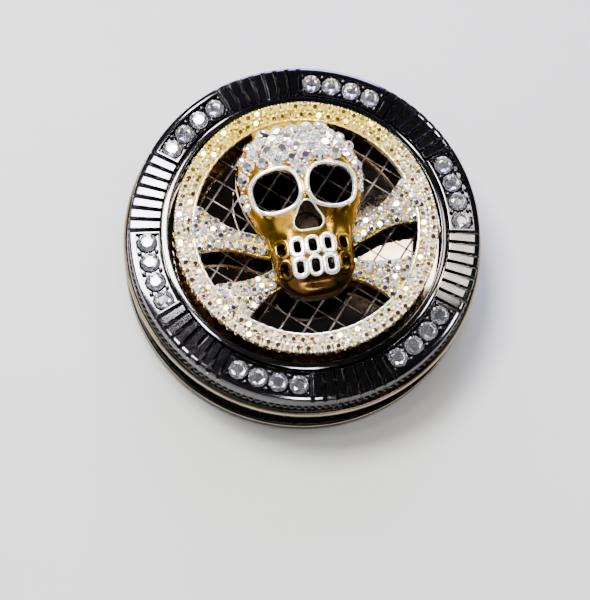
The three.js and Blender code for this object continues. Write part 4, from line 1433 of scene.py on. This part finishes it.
def area_light(name, place, size, radiance, color=(1, 1, 1), aimed=True):
    """A rectangle of light over the object. One that isn't aimed at it faces straight down."""
    data = bpy.data.lights.new(name, "AREA")
    data.shape = "RECTANGLE"
    data.size, data.size_y = size
    data.energy = radiance * math.pi * size[0] * size[1]
    data.color = color
    light = add_object(name, data)
    light.location = place
    if aimed:
        light.rotation_mode = "QUATERNION"
        light.rotation_quaternion = (LIGHTS_AIM - light.location).to_track_quat("-Z", "Y")


def make_world():
    """A studio that is bright round the horizon, less so at the front, and dark overhead."""
    world = bpy.data.worlds.new("studio")
    world.use_nodes = True
    tree = world.node_tree
    direction = add_node(tree, "ShaderNodeTexCoord", {})["Generated"]
    split = add_node(tree, "ShaderNodeSeparateXYZ", {"Vector": direction})
    smooth = {"interpolation_type": "SMOOTHSTEP"}
    overhead = {"Value": split["Z"], **map_range(0.8, 0.055, 0.25, 0.85)}
    front = {"Value": split["Y"], **map_range(0.4, 1, -0.6, 0.4)}
    fades = [add_node(tree, "ShaderNodeMapRange", fade, **smooth)["Result"] for fade in (overhead, front)]
    strength = add_node(tree, "ShaderNodeMath", dict(enumerate(fades)), operation="MULTIPLY")["Value"]
    background = tree.nodes["Background"]
    tree.links.new(strength, background.inputs["Strength"])
    background.inputs["Color"].default_value = (0.98, 0.98, 1, 1)
    bpy.context.scene.world = world


def make_lights():
    """Softboxes over the left and right catch the bezel, one small one the dial, and a bluish strip
    its far edge. Strips low on three sides and small spots overhead make the stones sparkle."""
    warm = (1, 0.92, 0.78)
    area_light("left_softbox", (-0.165, 0.215, 0.6), (0.23, 0.19), 96, aimed=False)
    area_light("right_softbox", (0.235, 0.145, 0.6), (0.07, 0.11), 17, warm, aimed=False)
    area_light("dial_softbox", (0.11, 0.17, 0.6), (0.036, 0.034), 46, warm, aimed=False)
    for number, (x, y) in enumerate(GLINT_SPOTS):
        area_light(f"glint_{number}", (x, y, 0.6), (0.05, 0.05), 90, aimed=False)
    area_light("overhead_panel", (-0.35, -0.4, 1.2), (0.7, 0.45), 2)
    area_light("front_key", (0.25, -0.85, 0.55), (0.7, 0.08), 4, (1, 0.95, 0.88))
    area_light("back_strip", (0.1, 0.9, 0.4), (0.6, 0.12), 66, (0.62, 0.68, 1))
    area_light("edge_strip", (0.17, 0.66, 0.58), (0.36, 0.1), 40, (0.45, 0.45, 1))
    area_light("left_strip", (-0.9, 0.1, 0.5), (0.6, 0.1), 8)
    area_light("right_strip", (0.9, 0.1, 0.5), (0.6, 0.1), 8)


def make_camera():
    """High over the front left, turned a little about its own axis."""
    data = bpy.data.cameras.new("camera")
    data.sensor_width = 36
    data.lens = CAMERA_LENS
    camera = add_object("camera", data)
    crystals = Vector((0, 0, CHANNEL_FLOOR + 0.55)) * MM
    camera.location = crystals + CAMERA_PLACE * MM
    aim = crystals + CAMERA_AIM * MM
    look = (aim - camera.location).to_track_quat("-Z", "Y")
    roll = Matrix.Rotation(math.radians(CAMERA_ROLL_DEGREES), 3, "Z").to_quaternion()
    camera.rotation_mode = "QUATERNION"
    camera.rotation_quaternion = look @ roll
    bpy.context.scene.camera = camera


make_camera()
make_world()
make_lights()
make_floor()
dress_carried_nodes()
make_case()
make_felt()
make_bezel()
make_prongs()
make_bezel_stones()
make_lip()
make_dial()
make_medallion()
make_ring_pave()
make_bone_crowns()
make_bone_pave()
make_skull()
make_forehead_pave()
